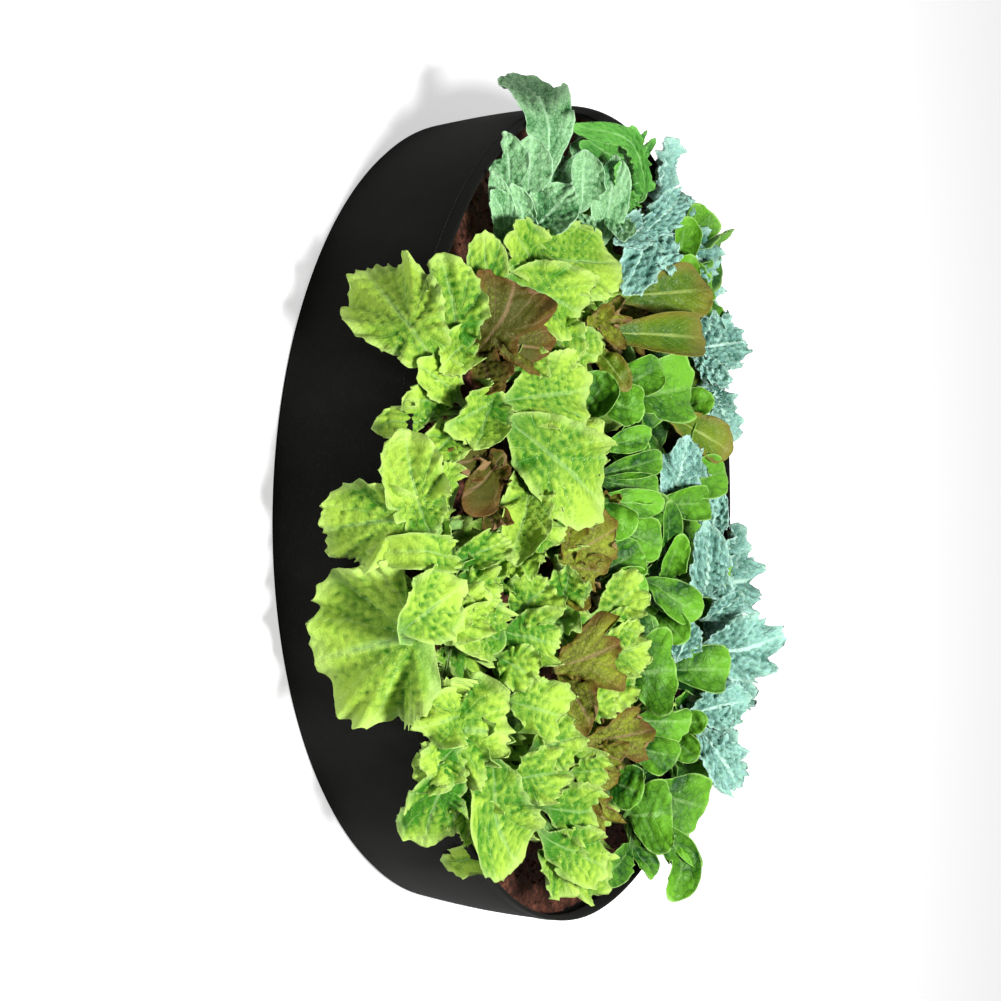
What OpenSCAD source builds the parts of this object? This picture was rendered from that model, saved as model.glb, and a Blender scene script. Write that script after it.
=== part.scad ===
// Round raised garden bed of sewn felt, filled with soil and planted with salad greens.
// Origin: centre of the base's underside. +Z is up, and -Y is the side with the hanging leaves.

/* [Felt bed] */
// Radius of the rim, outside
rim_r = 635; // [520:5:900]
// Height of the rim above the ground
wall_h = 222; // [180:2:400]
// How far the wall stands in at its foot
foot_inset = 20; // [0:1:60]
// How far the soil pushes the wall out at half height
wall_bulge = 4; // [0:0.5:12]
// Thickness of the felt
felt_t = 3; // [1.5:0.5:5]

/* [Seams] */
// Height of the hem, where the wall is folded inwards and sewn down
hem_w = 25; // [15:1:40]
// Gap between the two layers of the hem
hem_gap = 0.6; // [0.4:0.1:1.5]
// Width of the wall's foot, turned in over the base and sewn to it
flange_w = 16; // [12:1:30]
// Inner radius of the bend at the wall's foot
foot_bend_r = 3; // [2:0.5:8]
// How far the base panel stands in from the wall's foot
base_inset = 3; // [1:0.5:6]
// Width of the lap that closes the wall at the back
lap_w = 36; // [20:2:60]
// Radius of the sewing thread
thread_r = 0.6; // [0.4:0.1:1]
// Distance of the hem's stitches from its lower edge
hem_stitch_up = 5; // [3:1:10]

/* [Soil] */
// Height of the hem's lower edge above the soil's edge
soil_below_hem = 15; // [6:1:60]
// Rise of the soil from its edge to the middle
soil_mound = 10; // [0:1:30]
// Clearance between the soil and the felt
soil_gap = 0.3; // [0.1:0.1:0.5]

/* [Plants] */
// Radius of a plant's stem at the ground
stem_r = 10; // [7:0.5:14]
// Depth of a planting hole
root_depth = 26; // [15:1:60]
// Clearance of a stem in its planting hole
root_gap = 0.25; // [0.1:0.05:0.5]
// Thickness of a leaf at its midrib
leaf_t = 2.4; // [1.6:0.2:4]
// Space kept free between two neighbouring plants
plant_gap = 4; // [2:1:12]
// Length of the outer leaves of leaf lettuce
lettuce_leaf = 150; // [100:5:180]
// Length of the outer leaves of red oak-leaf lettuce
red_leaf = 125; // [90:5:150]
// Length of the outer leaves of butterhead lettuce
butterhead_leaf = 125; // [90:5:150]
// Length of the outer leaves of romaine lettuce
romaine_leaf = 165; // [120:5:200]
// Length of the outer leaves of kale
kale_leaf = 190; // [140:5:230]
// Length of the outer leaves of sage
sage_leaf = 150; // [100:5:180]
// Length of the outer leaves of rocket
rocket_leaf = 150; // [100:5:180]

/* [Hidden] */
$fn = 96;

// The kinds of plant. Each row: name, colour, number of leaves, length of the outer leaves,
// inner leaf as a share of the outer, width as a share of the length, lowest and highest rise in
// degrees, bend of the outer and inner leaves in degrees, height of a stem joint, leaf outline.
OUTLINE_FAN = [[0, 0.12], [0.25, 0.32], [0.5, 0.86], [0.75, 1], [1, 0.5]];
OUTLINE_SPOON = [[0, 0.15], [0.25, 0.36], [0.5, 0.85], [0.75, 1], [1, 0.42]];
OUTLINE_STALKED = [[0, 0.1], [0.25, 0.2], [0.5, 0.9], [0.75, 1], [1, 0.3]];
KINDS = [
    ["leaf_lettuce", "#8fc63a", 9, lettuce_leaf, 0.5, 1.05, 34, 82, 46, 14, 9, OUTLINE_FAN],
    ["red_lettuce", "#7a4a2c", 7, red_leaf, 0.6, 0.9, 36, 82, 42, 14, 9, OUTLINE_FAN],
    ["butterhead", "#4fa02e", 8, butterhead_leaf, 0.6, 0.95, 40, 84, 40, 16, 9, OUTLINE_SPOON],
    ["romaine", "#5f8f35", 7, romaine_leaf, 0.65, 0.55, 48, 86, 30, 10, 12, OUTLINE_SPOON],
    ["kale", "#5fa58c", 7, kale_leaf, 0.5, 0.5, 46, 82, 44, 20, 12, OUTLINE_STALKED],
    ["sage", "#7fb98e", 9, sage_leaf, 0.5, 0.5, 30, 78, 40, 20, 8, OUTLINE_STALKED],
    ["rocket", "#57a53a", 7, rocket_leaf, 0.55, 0.5, 36, 78, 44, 20, 8, OUTLINE_STALKED],
];
NAME = 0;
COLOUR = 1;
COUNT = 2;
OUTER_LEN = 3;
INNER_SHARE = 4;
WIDTH_SHARE = 5;
LOW_RISE = 6;
HIGH_RISE = 7;
OUTER_DROOP = 8;
INNER_DROOP = 9;
JOINT_H = 10;
OUTLINE = 11;

LETTUCE = 0;
RED = 1;
BUTTERHEAD = 2;
ROMAINE = 3;
KALE = 4;
SAGE = 5;
ROCKET = 6;

// The planting plan. Each row: kind, place of the crown in hundredths of the rim's radius (x, y),
// direction of the leading leaf in degrees, and the leading leaf. An empty list leaves it like the
// rest. Four numbers make it upright: length and width as shares of the kind's, rise and bend in
// degrees. Three drape it over the rim: width as a share, how far its tip hangs below the rim, and
// how far the tip stands off the wall.
PLAN = [
    [KALE, [43, 70], 100, [0.95, 0.95, 86, 10]],
    [KALE, [20, 79], 150, []],
    [KALE, [-43, 74], 80, []],
    [KALE, [-74, 40], 200, []],
    [BUTTERHEAD, [-62, 57], 120, []],
    [ROMAINE, [-50, 31], 270, [1, 1.2, 84, 6]],
    [ROMAINE, [-22, 57], 60, [0.85, 1.1, 82, 10]],
    [BUTTERHEAD, [-31, 27], 300, []],
    [BUTTERHEAD, [-3, 51], 20, []],
    [BUTTERHEAD, [17, 52], 250, []],
    [BUTTERHEAD, [38, 42], 310, []],
    [BUTTERHEAD, [60, 51], 40, []],
    [BUTTERHEAD, [79, 31], 10, []],
    [BUTTERHEAD, [19, 24], 280, []],
    [BUTTERHEAD, [-7, 12], 200, []],
    [RED, [-45, 10], 250, []],
    [RED, [13, -4], 330, []],
    [RED, [36, 2], 280, []],
    [RED, [60, 11], 260, []],
    [RED, [-37, -49], 220, []],
    [RED, [-3, -54], 300, []],
    [LETTUCE, [-58, -9], 240, []],
    [LETTUCE, [-19, -14], 190, []],
    [LETTUCE, [-31, -31], 280, []],
    [LETTUCE, [-49, -66], 236, [1.1, 115, 40]],
    [LETTUCE, [-22, -70], 255, []],
    [LETTUCE, [3, -79], 270, [1, 130, 45]],
    [LETTUCE, [14, -59], 210, []],
    [LETTUCE, [28, -76], 284, [1.3, 130, 55]],
    [LETTUCE, [28, -25], 300, []],
    [LETTUCE, [46, -46], 290, []],
    [LETTUCE, [68, -33], 330, []],
    [LETTUCE, [73, -8], 20, []],
    [LETTUCE, [58, -60], 305, [0.85, 60, 35]],
    [LETTUCE, [4, -32], 250, []],
    [LETTUCE, [40, 21], 30, []],
    [SAGE, [-73, -24], 188, [1, 25, 70]],
    [ROCKET, [-81, 9], 150, []],
];
PLAN_KIND = 0;
PLAN_PLACE = 1;
PLAN_TURN = 2;
PLAN_LEADER = 3;

// Nodes
function earlier_alike(i) = len([for (k = [0:i]) if (PLAN[k][PLAN_KIND] == PLAN[i][PLAN_KIND]) k]);
function plant_name(i) = str(KINDS[PLAN[i][PLAN_KIND]][NAME], "_", earlier_alike(i));
PLANT_NAMES = [for (i = [0:len(PLAN) - 1]) plant_name(i)];
BED_NAMES = ["base_panel", "wall_panel", "hem_thread", "side_seam_thread", "base_seam_thread", "soil_fill"];

// Felt wall
WALL_STATIONS = 10;
BEND_STEPS = 4;
seam_azimuth = 90;
thread_gap = 0.1;
foot_r = rim_r - foot_inset;
wall_foot_z = felt_t;
wall_bend_z = wall_foot_z + felt_t + foot_bend_r;
hem_turn_r = (felt_t + hem_gap) / 2;
wall_top_z = wall_h - felt_t / 2 - hem_turn_r;
hem_low_z = wall_h - hem_w;
hem_stitch_z = hem_low_z + hem_stitch_up;
base_r = foot_r - base_inset;

// Soil
soil_edge_z = hem_low_z - soil_below_hem;
soil_foot_z = felt_t + soil_gap;
soil_step_z = 2 * felt_t + 2 * thread_r + 2 * thread_gap + soil_gap;
soil_chamfer_z = soil_step_z + foot_bend_r + 2;
SOIL_STATIONS = 6;

// Plants
STEM_SIDES = 8;
LEAVES_A_JOINT = 3;
SIDE_STEP = 3;
side_angle = 360 / STEM_SIDES;
leaf_steps = 4;
leader_steps = 6;
sector_half = 44;
tip_half = 8;
heart_half = 80;
flat_from = 0.4;
flat_to = 0.8;
channel_share = 0.04;
stem_foot_gap = 0.2;
crown_rise = 1.5;
rim_clear = 7;
wall_zone = 22;
leader_margin = 3;
leader_side = 100;
UPRIGHT = 4;
DRAPED = 3;
drape_lift = 64;
drape_lead = 0.5;
BIG = 10000;
RADIAN = 180 / PI;

// Radius of the wall's outer face at height z
function wall_r(z) = let (s = max(0, min(1, z / wall_h)))
    foot_r + foot_inset * s + wall_bulge * sin(180 * s);

// Height of the soil's surface at distance r from the middle
function soil_z(r) = soil_edge_z + soil_mound * (1 - pow(min(1, r / foot_r), 2));

// Outline of a strip of felt of thickness t along a path
function path_normal(path, i) = let (
        a = path[max(0, i - 1)],
        b = path[min(len(path) - 1, i + 1)],
        d = b - a)
    [-d[1], d[0]] / norm(d);
function strip_outline(path, t) = concat(
    [for (i = [0:len(path) - 1]) path[i] + path_normal(path, i) * t / 2],
    [for (i = [len(path) - 1:-1:0]) path[i] - path_normal(path, i) * t / 2]);

// Middle line of the wall's felt, from the turned-in foot up to the rim and down inside the hem
function wall_mid_r(z) = wall_r(z) - felt_t / 2;
function wall_path() = let (
        low_z = wall_foot_z + felt_t / 2,
        bend_r = foot_bend_r + felt_t / 2,
        bend_centre = [wall_mid_r(wall_bend_z) - bend_r, low_z + bend_r],
        top_r = wall_mid_r(wall_top_z))
    concat(
        [[wall_mid_r(wall_bend_z) - flange_w, low_z]],
        [for (i = [0:BEND_STEPS]) let (a = -90 + 90 * i / BEND_STEPS)
            bend_centre + bend_r * [cos(a), sin(a)]],
        [for (i = [1:WALL_STATIONS]) let (z = low_z + bend_r
            + (wall_top_z - low_z - bend_r) * i / WALL_STATIONS) [wall_mid_r(z), z]],
        [for (i = [1:2 * BEND_STEPS]) let (a = 90 * i / BEND_STEPS)
            [top_r - hem_turn_r + hem_turn_r * cos(a), wall_top_z + hem_turn_r * sin(a)]],
        [[wall_mid_r(hem_low_z) - 2 * hem_turn_r, hem_low_z]]);

// Stations up the wall between two heights, used by the soil, the lap and the seam
function wall_heights(low, high, n) = [for (i = [0:n]) low + (high - low) * i / n];

module base_panel() color("#1c1c1a") cylinder(r = base_r, h = felt_t);

// The wall is one strip: its foot lies on the base panel, its top is folded in, its ends lap
module wall_panel() color("#232321") {
    rotate_extrude() polygon(strip_outline(wall_path(), felt_t));
    lap_top = hem_low_z - 2;
    lap_low = wall_bend_z + 2;
    lap_angle = lap_w / rim_r * RADIAN;
    zs = wall_heights(lap_low, lap_top, WALL_STATIONS);
    rotate([0, 0, seam_azimuth - lap_angle / 2]) rotate_extrude(angle = lap_angle) polygon(concat(
        [for (z = zs) [wall_r(z) - 2 * felt_t, z]],
        [for (i = [len(zs) - 1:-1:0]) [wall_r(zs[i]) - felt_t / 2, zs[i]]]));
}

// Stitches that hold the hem down, drawn as the ring that they follow
module hem_thread() color("#3a3a38")
    rotate_extrude() translate([wall_r(hem_stitch_z) + thread_r + thread_gap, hem_stitch_z])
        circle(r = thread_r);

// Two rows of stitches up the lap at the back
module side_seam_thread() color("#3a3a38") {
    thread_angle = 2 * thread_r / rim_r * RADIAN;
    row_angle = (lap_w / 2 - 4) / rim_r * RADIAN;
    zs = wall_heights(wall_bend_z, hem_stitch_z - 3 * thread_r, WALL_STATIONS);
    for (side = [-1, 1]) rotate([0, 0, seam_azimuth + side * row_angle - thread_angle / 2])
        rotate_extrude(angle = thread_angle) polygon(concat(
            [for (z = zs) [wall_r(z) + thread_gap, z]],
            [for (i = [len(zs) - 1:-1:0]) [wall_r(zs[i]) + thread_gap + 2 * thread_r, zs[i]]]));
}

// Stitches that hold the wall's foot down on the base panel
module base_seam_thread() color("#3a3a38")
    rotate_extrude()
        translate([wall_mid_r(wall_bend_z) - flange_w / 2, wall_foot_z + felt_t + thread_r + thread_gap])
            circle(r = thread_r);

// Soil that holds the felt in shape, with a planting hole under each plant
module soil_fill() color("#3b241b") {
    zs = wall_heights(soil_chamfer_z, soil_edge_z, WALL_STATIONS);
    inner = wall_mid_r(wall_bend_z) - flange_w - 1;
    top_r = wall_r(soil_edge_z) - felt_t - soil_gap;
    difference() {
        rotate_extrude() polygon(concat(
            [[0, soil_foot_z], [inner, soil_foot_z], [inner, soil_step_z]],
            [for (i = [0:len(zs) - 1]) [wall_r(zs[i]) - felt_t - soil_gap, zs[i]]],
            [for (i = [SOIL_STATIONS - 1:-1:0]) let (r = top_r * i / SOIL_STATIONS) [r, soil_z(r)]]));
        seat_lap();
        for (i = [0:len(PLAN) - 1]) let (c = crown(i))
            translate([c[0], c[1], crown_z(i) - root_depth])
                cylinder(r = stem_r + root_gap, h = root_depth + soil_mound + 5);
    }
}

// Room for the second layer of felt at the lap
module seat_lap() {
    seat_angle = (lap_w / rim_r + 2 * soil_gap / rim_r) * RADIAN;
    seat_low = wall_bend_z - 2;
    rotate([0, 0, seam_azimuth - seat_angle / 2]) rotate_extrude(angle = seat_angle) polygon(concat(
        [for (z = wall_heights(seat_low, wall_h, WALL_STATIONS)) [wall_r(z) - 2 * felt_t - soil_gap, z]],
        [[rim_r + wall_bulge + 5, wall_h], [rim_r + wall_bulge + 5, seat_low]]));
}

// Place of a plant's crown, and the height of the soil there
function crown(i) = PLAN[i][PLAN_PLACE] * rim_r / 100;
function crown_z(i) = soil_z(norm(crown(i)));

// A leaf's middle line is an arc: distance from the stem, and height, after the share t of its length
function arc_out(size, rise, droop, t) = size * (sin(rise) - sin(rise - droop * t)) * RADIAN / droop;
function arc_up(size, rise, droop, t) = size * (cos(rise - droop * t) - cos(rise)) * RADIAN / droop;

// Height of that arc at distance d from the stem, or below everything if the leaf ends before it
function arc_up_at(size, rise, droop, d) = let (s = sin(rise) - d * droop / RADIAN / size)
    s < sin(rise - droop) ? -BIG : size * (cos(asin(s)) - cos(rise)) * RADIAN / droop;

// How far a leaf may reach from plant i in direction az before it comes near the next plant
function reach_to_neighbours(i, az) = min([for (k = [0:len(PLAN) - 1]) if (k != i) let (
        v = crown(k) - crown(i),
        c = cos(az - atan2(v[1], v[0])))
    c > 0.02 ? (norm(v) - plant_gap) / 2 / c : BIG]);

// Distance from plant i to the inside of the wall in direction az
function reach_to_wall(i, az) = let (
        c = crown(i),
        along = c[0] * cos(az) + c[1] * sin(az),
        inner_r = foot_r - 2 * felt_t - 6)
    sqrt(along * along + inner_r * inner_r - c[0] * c[0] - c[1] * c[1]) - along;

// The rise that carries a leaf of this size over the rim from plant i, where the wall is close
function rim_rise(i, size, droop) = let (
        c = crown(i),
        gap = foot_r - norm(c),
        climb = wall_h + rim_clear - crown_z(i),
        share = min(1, norm([gap, climb]) / size))
    size < norm([gap, climb]) ? 0 : atan2(climb, gap) + droop * share / 2;

// The length that a leaf may have so that it stays clear of the next plants and the wall
function size_that_fits(i, az, size, rise, droop, z) = let (
        out = arc_out(1, rise, droop, 1),
        by_plants = (min([for (turn = [-tip_half, 0, tip_half]) reach_to_neighbours(i, az + turn)])
            - stem_r) / out,
        walls = [for (turn = [-sector_half, -sector_half / 2, 0, sector_half / 2, sector_half])
            reach_to_wall(i, az + turn)],
        over = min([for (w = walls) min(
            arc_up_at(min(size, by_plants), rise, droop, w - stem_r),
            arc_up_at(min(size, by_plants), rise, droop, w - stem_r + wall_zone))]),
        by_wall = z + over > wall_h + rim_clear ? BIG : (min(walls) - 2 - stem_r) / out)
    min(size, by_plants, by_wall);

// The turn from a leaf's midrib to its edge, drawn in where the edge would pass into the next plant
function clear_spread(i, az, side, out, spread) = max([for (share = [0:0.125:1])
    if (share == 0 || reach_to_neighbours(i, az + side * share * spread) >= out) share * spread]);

// A draped leaf's middle line is a cubic curve with four control points, given as distance from
// the stem and height above its joint: up beside the stem, over the rim, and down outside it
function drape_line(i, az, z, hang, stand_off) = let (
        wall = reach_to_wall(i, az) + rim_r - foot_r + 2 * felt_t - stem_r,
        climb = wall_h - z)
    [[0, 0], [drape_lead * wall, climb + drape_lift], [wall + stand_off, climb + drape_lift],
        [wall + stand_off, climb - hang]];
function drape_point(p, t) = pow(1 - t, 3) * p[0] + 3 * pow(1 - t, 2) * t * p[1]
    + 3 * (1 - t) * t * t * p[2] + pow(t, 3) * p[3];
function drape_slope(p, t) = let (d = pow(1 - t, 2) * (p[1] - p[0])
        + 2 * (1 - t) * t * (p[2] - p[1]) + t * t * (p[3] - p[2]))
    atan2(d[1], d[0]);

// One leaf of plant i: direction, size, width, rise, bend, height of its joint, steps and drape
function leaf_data(i, n) = let (
        kind = KINDS[PLAN[i][PLAN_KIND]],
        leader = PLAN[i][PLAN_LEADER],
        count = kind[COUNT],
        upright = len(leader) == UPRIGHT,
        draped = len(leader) == DRAPED,
        leading = upright && n == count - 1 || draped && n == 0,
        share = n / (count - 1),
        z = crown_z(i) + crown_rise + kind[JOINT_H] * (floor(n / LEAVES_A_JOINT) + 0.5),
        turn = PLAN[i][PLAN_TURN] - side_angle * (upright ? SIDE_STEP * (count - 1) : 0),
        az = turn + side_angle * SIDE_STEP * n,
        line = draped ? drape_line(i, turn, z, leader[1], leader[2]) : [],
        beside_leader = draped && cos(az - turn) > cos(leader_side),
        least = max(kind[LOW_RISE], rim_rise(i, kind[OUTER_LEN], kind[OUTER_DROOP]),
            beside_leader ? drape_slope(line, 0) + leader_margin : 0),
        rise = leading && upright ? leader[2] : least + (kind[HIGH_RISE] - least) * share,
        droop = leading && upright ? leader[3]
            : kind[OUTER_DROOP] + (kind[INNER_DROOP] - kind[OUTER_DROOP]) * share,
        full = kind[OUTER_LEN] * (leading ? leader[0] : 1 + (kind[INNER_SHARE] - 1) * share),
        size = leading ? full : size_that_fits(i, az, full, rise, droop, z),
        width = kind[WIDTH_SHARE] * (leading
            ? kind[OUTER_LEN] * leader[upright ? 1 : 0] : sqrt(size * full)))
    [az, size, width, rise, droop, z, leading ? leader_steps : leaf_steps, leading ? line : []];

// Four points round a leaf at the share t of its length: one edge, underside, other edge, midrib.
// Leaves curl round their plant like shells, but a leading leaf is flat above the plant's heart.
function leaf_ring(i, leaf, outline, t) = let (
        draped = len(leaf[7]) > 0,
        on_line = draped ? drape_point(leaf[7], t)
            : [arc_out(leaf[1], leaf[3], leaf[4], t), arc_up(leaf[1], leaf[3], leaf[4], t)],
        out = stem_r + on_line[0],
        up = leaf[5] + on_line[1],
        a = draped ? drape_slope(leaf[7], t) : leaf[3] - leaf[4] * t,
        half = leaf[2] / 2 * lookup(t, outline),
        leading = leaf[6] == leader_steps,
        flat = !leading ? 0 : draped ? 1 : max(0, min(1, (t - flat_from) / (flat_to - flat_from))),
        spread = min(leading ? heart_half : sector_half, half / out * RADIAN),
        left = leading ? spread : clear_spread(i, leaf[0], -1, out, spread),
        right = leading ? spread : clear_spread(i, leaf[0], 1, out, spread),
        flat_point = function(side) polar_point(norm([out, half]), leaf[0] + side * atan2(half, out), up),
        edge = function(side, turn) (1 - flat) * polar_point(out, leaf[0] + side * turn, up)
            + flat * flat_point(side),
        dip = channel_share * half * 2)
    [
        edge(-1, left),
        polar_point(out + (dip + leaf_t / 2) * sin(a), leaf[0], up - (dip + leaf_t / 2) * cos(a)),
        edge(1, right),
        polar_point(out + (dip - leaf_t / 2) * sin(a), leaf[0], up - (dip - leaf_t / 2) * cos(a)),
    ];
function polar_point(r, az, z) = [r * cos(az), r * sin(az), z];

// Two triangles between the edge from a to b and the edge from c to d beyond it, split from a to d
// or, where flip is true, from b to c. A leaf's two faces are split alike, so that they never cross.
function two_triangles(a, b, c, d, flip = false) =
    flip ? [[a, c, b], [b, c, d]] : [[a, c, d], [a, d, b]];

// A plant is one closed solid: an eight-sided stem, with a leaf growing out of each chosen side
module plant(i) {
    kind = KINDS[PLAN[i][PLAN_KIND]];
    count = kind[COUNT];
    joints = ceil(count / LEAVES_A_JOINT);
    leaves = [for (n = [0:count - 1]) leaf_data(i, n)];
    first_az = leaves[0][0] - side_angle / 2;
    heights = concat([crown_z(i) - root_depth + stem_foot_gap],
        [for (k = [0:joints]) crown_z(i) + crown_rise + kind[JOINT_H] * k]);
    stem_points = [for (z = heights) for (k = [0:STEM_SIDES - 1])
        polar_point(stem_r, first_az + side_angle * k, z)];
    top = len(heights) - 1;
    function corner(level, side) = level * STEM_SIDES + side % STEM_SIDES;
    function leaf_side(n) = (SIDE_STEP * n) % STEM_SIDES;
    function leaf_level(n) = floor(n / LEAVES_A_JOINT) + 1;
    function has_leaf(level, side) =
        len([for (n = [0:count - 1]) if (leaf_level(n) == level && leaf_side(n) == side) n]) > 0;
    stem_faces = [for (level = [0:top - 1]) for (k = [0:STEM_SIDES - 1]) if (!has_leaf(level, k))
        each two_triangles(corner(level, k), corner(level, k + 1),
            corner(level + 1, k), corner(level + 1, k + 1))];
    end_faces = [for (k = [1:STEM_SIDES - 2]) each [
        [corner(0, 0), corner(0, k), corner(0, k + 1)],
        [corner(top, 0), corner(top, k + 1), corner(top, k)]]];
    starts = [for (n = [0:count - 1]) len(stem_points)
        + 4 * (n == 0 ? 0 : leaves[0][6] + (n - 1) * leaf_steps)];
    leaf_points = [for (leaf = leaves) for (k = [1:leaf[6]])
        each leaf_ring(i, leaf, kind[OUTLINE], k / leaf[6])];
    leaf_faces = [for (n = [0:count - 1]) let (
            level = leaf_level(n),
            side = leaf_side(n),
            root = [corner(level, side), corner(level, side + 1),
                corner(level + 1, side + 1), corner(level + 1, side)],
            last = starts[n] + 4 * (leaves[n][6] - 1))
        each concat(
            [for (k = [0:3]) each two_triangles(root[k], root[(k + 1) % 4],
                starts[n] + k, starts[n] + (k + 1) % 4)],
            [for (step = [1:leaves[n][6] - 1]) for (k = [0:3]) let (b = starts[n] + 4 * step)
                each two_triangles(b - 4 + k, b - 4 + (k + 1) % 4, b + k, b + (k + 1) % 4, k % 2 == 0)],
            [[last, last + 3, last + 1], [last + 1, last + 3, last + 2]])];
    c = crown(i);
    color(kind[COLOUR]) translate([c[0], c[1], 0])
        polyhedron(concat(stem_points, leaf_points), concat(stem_faces, end_faces, leaf_faces));
}

base_panel();
wall_panel();
hem_thread();
side_seam_thread();
base_seam_thread();
soil_fill();
for (i = [0:len(PLAN) - 1]) plant(i);
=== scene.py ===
"""A round raised garden bed of sewn black felt, filled with soil and planted with salad greens."""
import math

import bmesh
import bpy
import numpy as np
from mathutils import Matrix, Vector


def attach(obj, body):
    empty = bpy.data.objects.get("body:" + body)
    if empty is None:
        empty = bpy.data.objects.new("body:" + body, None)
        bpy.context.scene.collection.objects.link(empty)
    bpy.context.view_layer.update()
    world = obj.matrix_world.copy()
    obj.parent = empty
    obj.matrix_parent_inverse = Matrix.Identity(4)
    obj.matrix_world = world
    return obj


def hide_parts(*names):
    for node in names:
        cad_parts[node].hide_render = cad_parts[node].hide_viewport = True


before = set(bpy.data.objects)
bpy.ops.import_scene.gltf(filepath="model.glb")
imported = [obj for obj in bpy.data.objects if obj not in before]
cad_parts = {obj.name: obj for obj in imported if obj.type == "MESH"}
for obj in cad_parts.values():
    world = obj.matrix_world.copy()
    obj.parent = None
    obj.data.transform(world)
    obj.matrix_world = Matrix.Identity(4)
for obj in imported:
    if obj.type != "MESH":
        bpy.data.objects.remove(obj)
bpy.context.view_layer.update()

# The camera stands in front of the bed and a little above it. The photograph is turned a quarter
# turn, so the camera is rolled: the picture's right is the bed's up.
CAMERA_PLACE = Vector((0.0, -3.6493, 1.7794))
CAMERA_AIM = Vector((-0.0176, 0.0, 0.0624))
CAMERA_LENS = 90.72
CAMERA_TILT = math.radians(0.885)


def new_object(name, data):
    made = bpy.data.objects.new(name, data)
    bpy.context.collection.objects.link(made)
    return made


forward = (CAMERA_AIM - CAMERA_PLACE).normalized()
level_right = forward.cross(Vector((0, 0, 1))).normalized()
level_up = level_right.cross(forward)
bed_right = level_right * math.cos(CAMERA_TILT) + level_up * math.sin(CAMERA_TILT)
bed_up = level_up * math.cos(CAMERA_TILT) - level_right * math.sin(CAMERA_TILT)
camera_data = bpy.data.cameras.new("camera")
camera_data.lens = CAMERA_LENS
camera_data.sensor_width = 36
camera_data.clip_end = 60
camera = new_object("camera", camera_data)
camera.matrix_world = Matrix.Translation(CAMERA_PLACE) @ Matrix(
    (bed_up, -bed_right, -forward)).transposed().to_4x4()
bpy.context.scene.camera = camera

# Base panel: a disc of black needled felt, cut from the roll, that lies flat on the ground. The
# wall's foot is sewn down on its edge.
BASE_RADIUS = 0.612
FELT_THICKNESS = 0.003
FELT_BLACK = (0.0040, 0.0042, 0.0033)
FELT_FIBRE = (0.026, 0.027, 0.023)


class Value:
    """A socket in a material that works in Python sums. Each sum adds its Math nodes."""

    def __init__(self, socket):
        self.socket = socket

    def math(self, operation, *others):
        return node(self.socket.id_data, "ShaderNodeMath", {"operation": operation},
                    dict(enumerate((self,) + others)))

    def __add__(self, other): return self.math("ADD", other)
    def __mul__(self, other): return self.math("MULTIPLY", other)
    def __sub__(self, other): return self.math("SUBTRACT", other)
    def __rsub__(self, other): return self * -1 + other
    def __pow__(self, other): return self.math("POWER", other)
    def __mod__(self, other): return self.math("FLOORED_MODULO", other)
    def __abs__(self): return self.math("ABSOLUTE")

    def most(self, other): return self.math("MAXIMUM", other)

    def between(self, low, high):
        """0 below low, 1 above high, and a soft step between them."""
        return node(self.socket.id_data, "ShaderNodeMapRange", {"interpolation_type": "SMOOTHSTEP"},
                    {"Value": self, "From Min": low, "From Max": high})


def node(tree, kind, settings=None, sockets=None, out=0):
    """Adds a node: its settings first, then the values or links of its sockets."""
    made = tree.nodes.new(kind)
    for name, value in (settings or {}).items():
        setattr(made, name, value)
    for name, value in (sockets or {}).items():
        socket = made.inputs[name]
        if isinstance(value, Value):
            tree.links.new(value.socket, socket)
        elif socket.type == "RGBA":
            socket.default_value = (*value, 1)
        else:
            socket.default_value = value
    return Value(made.outputs[out]) if out is not None else made


def mix(tree, first, second, share):
    """A colour between two colours."""
    return node(tree, "ShaderNodeMix", {"data_type": "RGBA"},
                {"Factor": share, 6: first, 7: second}, out=2)


def noise(tree, place, scale, detail, roughness=0.5, out=0):
    return node(tree, "ShaderNodeTexNoise", None, {
        "Vector": place, "Scale": scale, "Detail": detail, "Roughness": roughness}, out)


def bump(tree, height, strength, distance):
    return node(tree, "ShaderNodeBump", None,
                {"Height": height, "Strength": strength, "Distance": distance})


def new_material(name):
    made = bpy.data.materials.new(name)
    made.use_nodes = True
    made.node_tree.nodes.clear()
    return made, made.node_tree


def finish_material(tree, sockets):
    """Ends a material in its shader."""
    shader = node(tree, "ShaderNodeBsdfPrincipled", None, sockets)
    node(tree, "ShaderNodeOutputMaterial", None, {"Surface": shader}, out=None)


def felt_material():
    """Needled black felt: short lighter fibres lie every way over a matt, faintly pilled ground."""
    made, tree = new_material("felt")
    place = node(tree, "ShaderNodeTexCoord", out="Object")
    soft = noise(tree, place, 9, 4, 0.6)
    strands = [noise(tree, node(tree, "ShaderNodeMapping", None, {
        "Vector": place, "Rotation": turn, "Scale": (90, 900, 900)}), 1, 2)
        for turn in ((0.3, 0.5, 0.9), (1.2, 0.2, 2.1), (0.7, 1.4, 0.1))]
    fibres = strands[0].most(strands[1]).most(strands[2])
    pills = node(tree, "ShaderNodeTexVoronoi", None, {"Vector": place, "Scale": 260})
    lint = fibres.between(0.62, 0.78)
    colour = mix(tree, mix(tree, FELT_BLACK, FELT_FIBRE, lint * 0.55), FELT_FIBRE,
                 soft.between(0.35, 0.8) * 0.14)
    finish_material(tree, {
        "Base Color": colour, "Roughness": lint * 0.1 + 0.86, "Sheen Weight": 0.02,
        "Sheen Roughness": 0.45, "Specular IOR Level": 0.08,
        "Normal": bump(tree, fibres * 0.7 + (1 - pills) * 0.3, 0.35, 0.0008)})
    return made


def bed_piece(name, mesh, slot, *stands_for):
    """An object at the origin that rides on the bed and stands for its CAD nodes."""
    piece = new_object(name, mesh)
    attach(piece, "root")
    if stands_for:
        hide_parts(*stands_for)
    return piece


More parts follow.
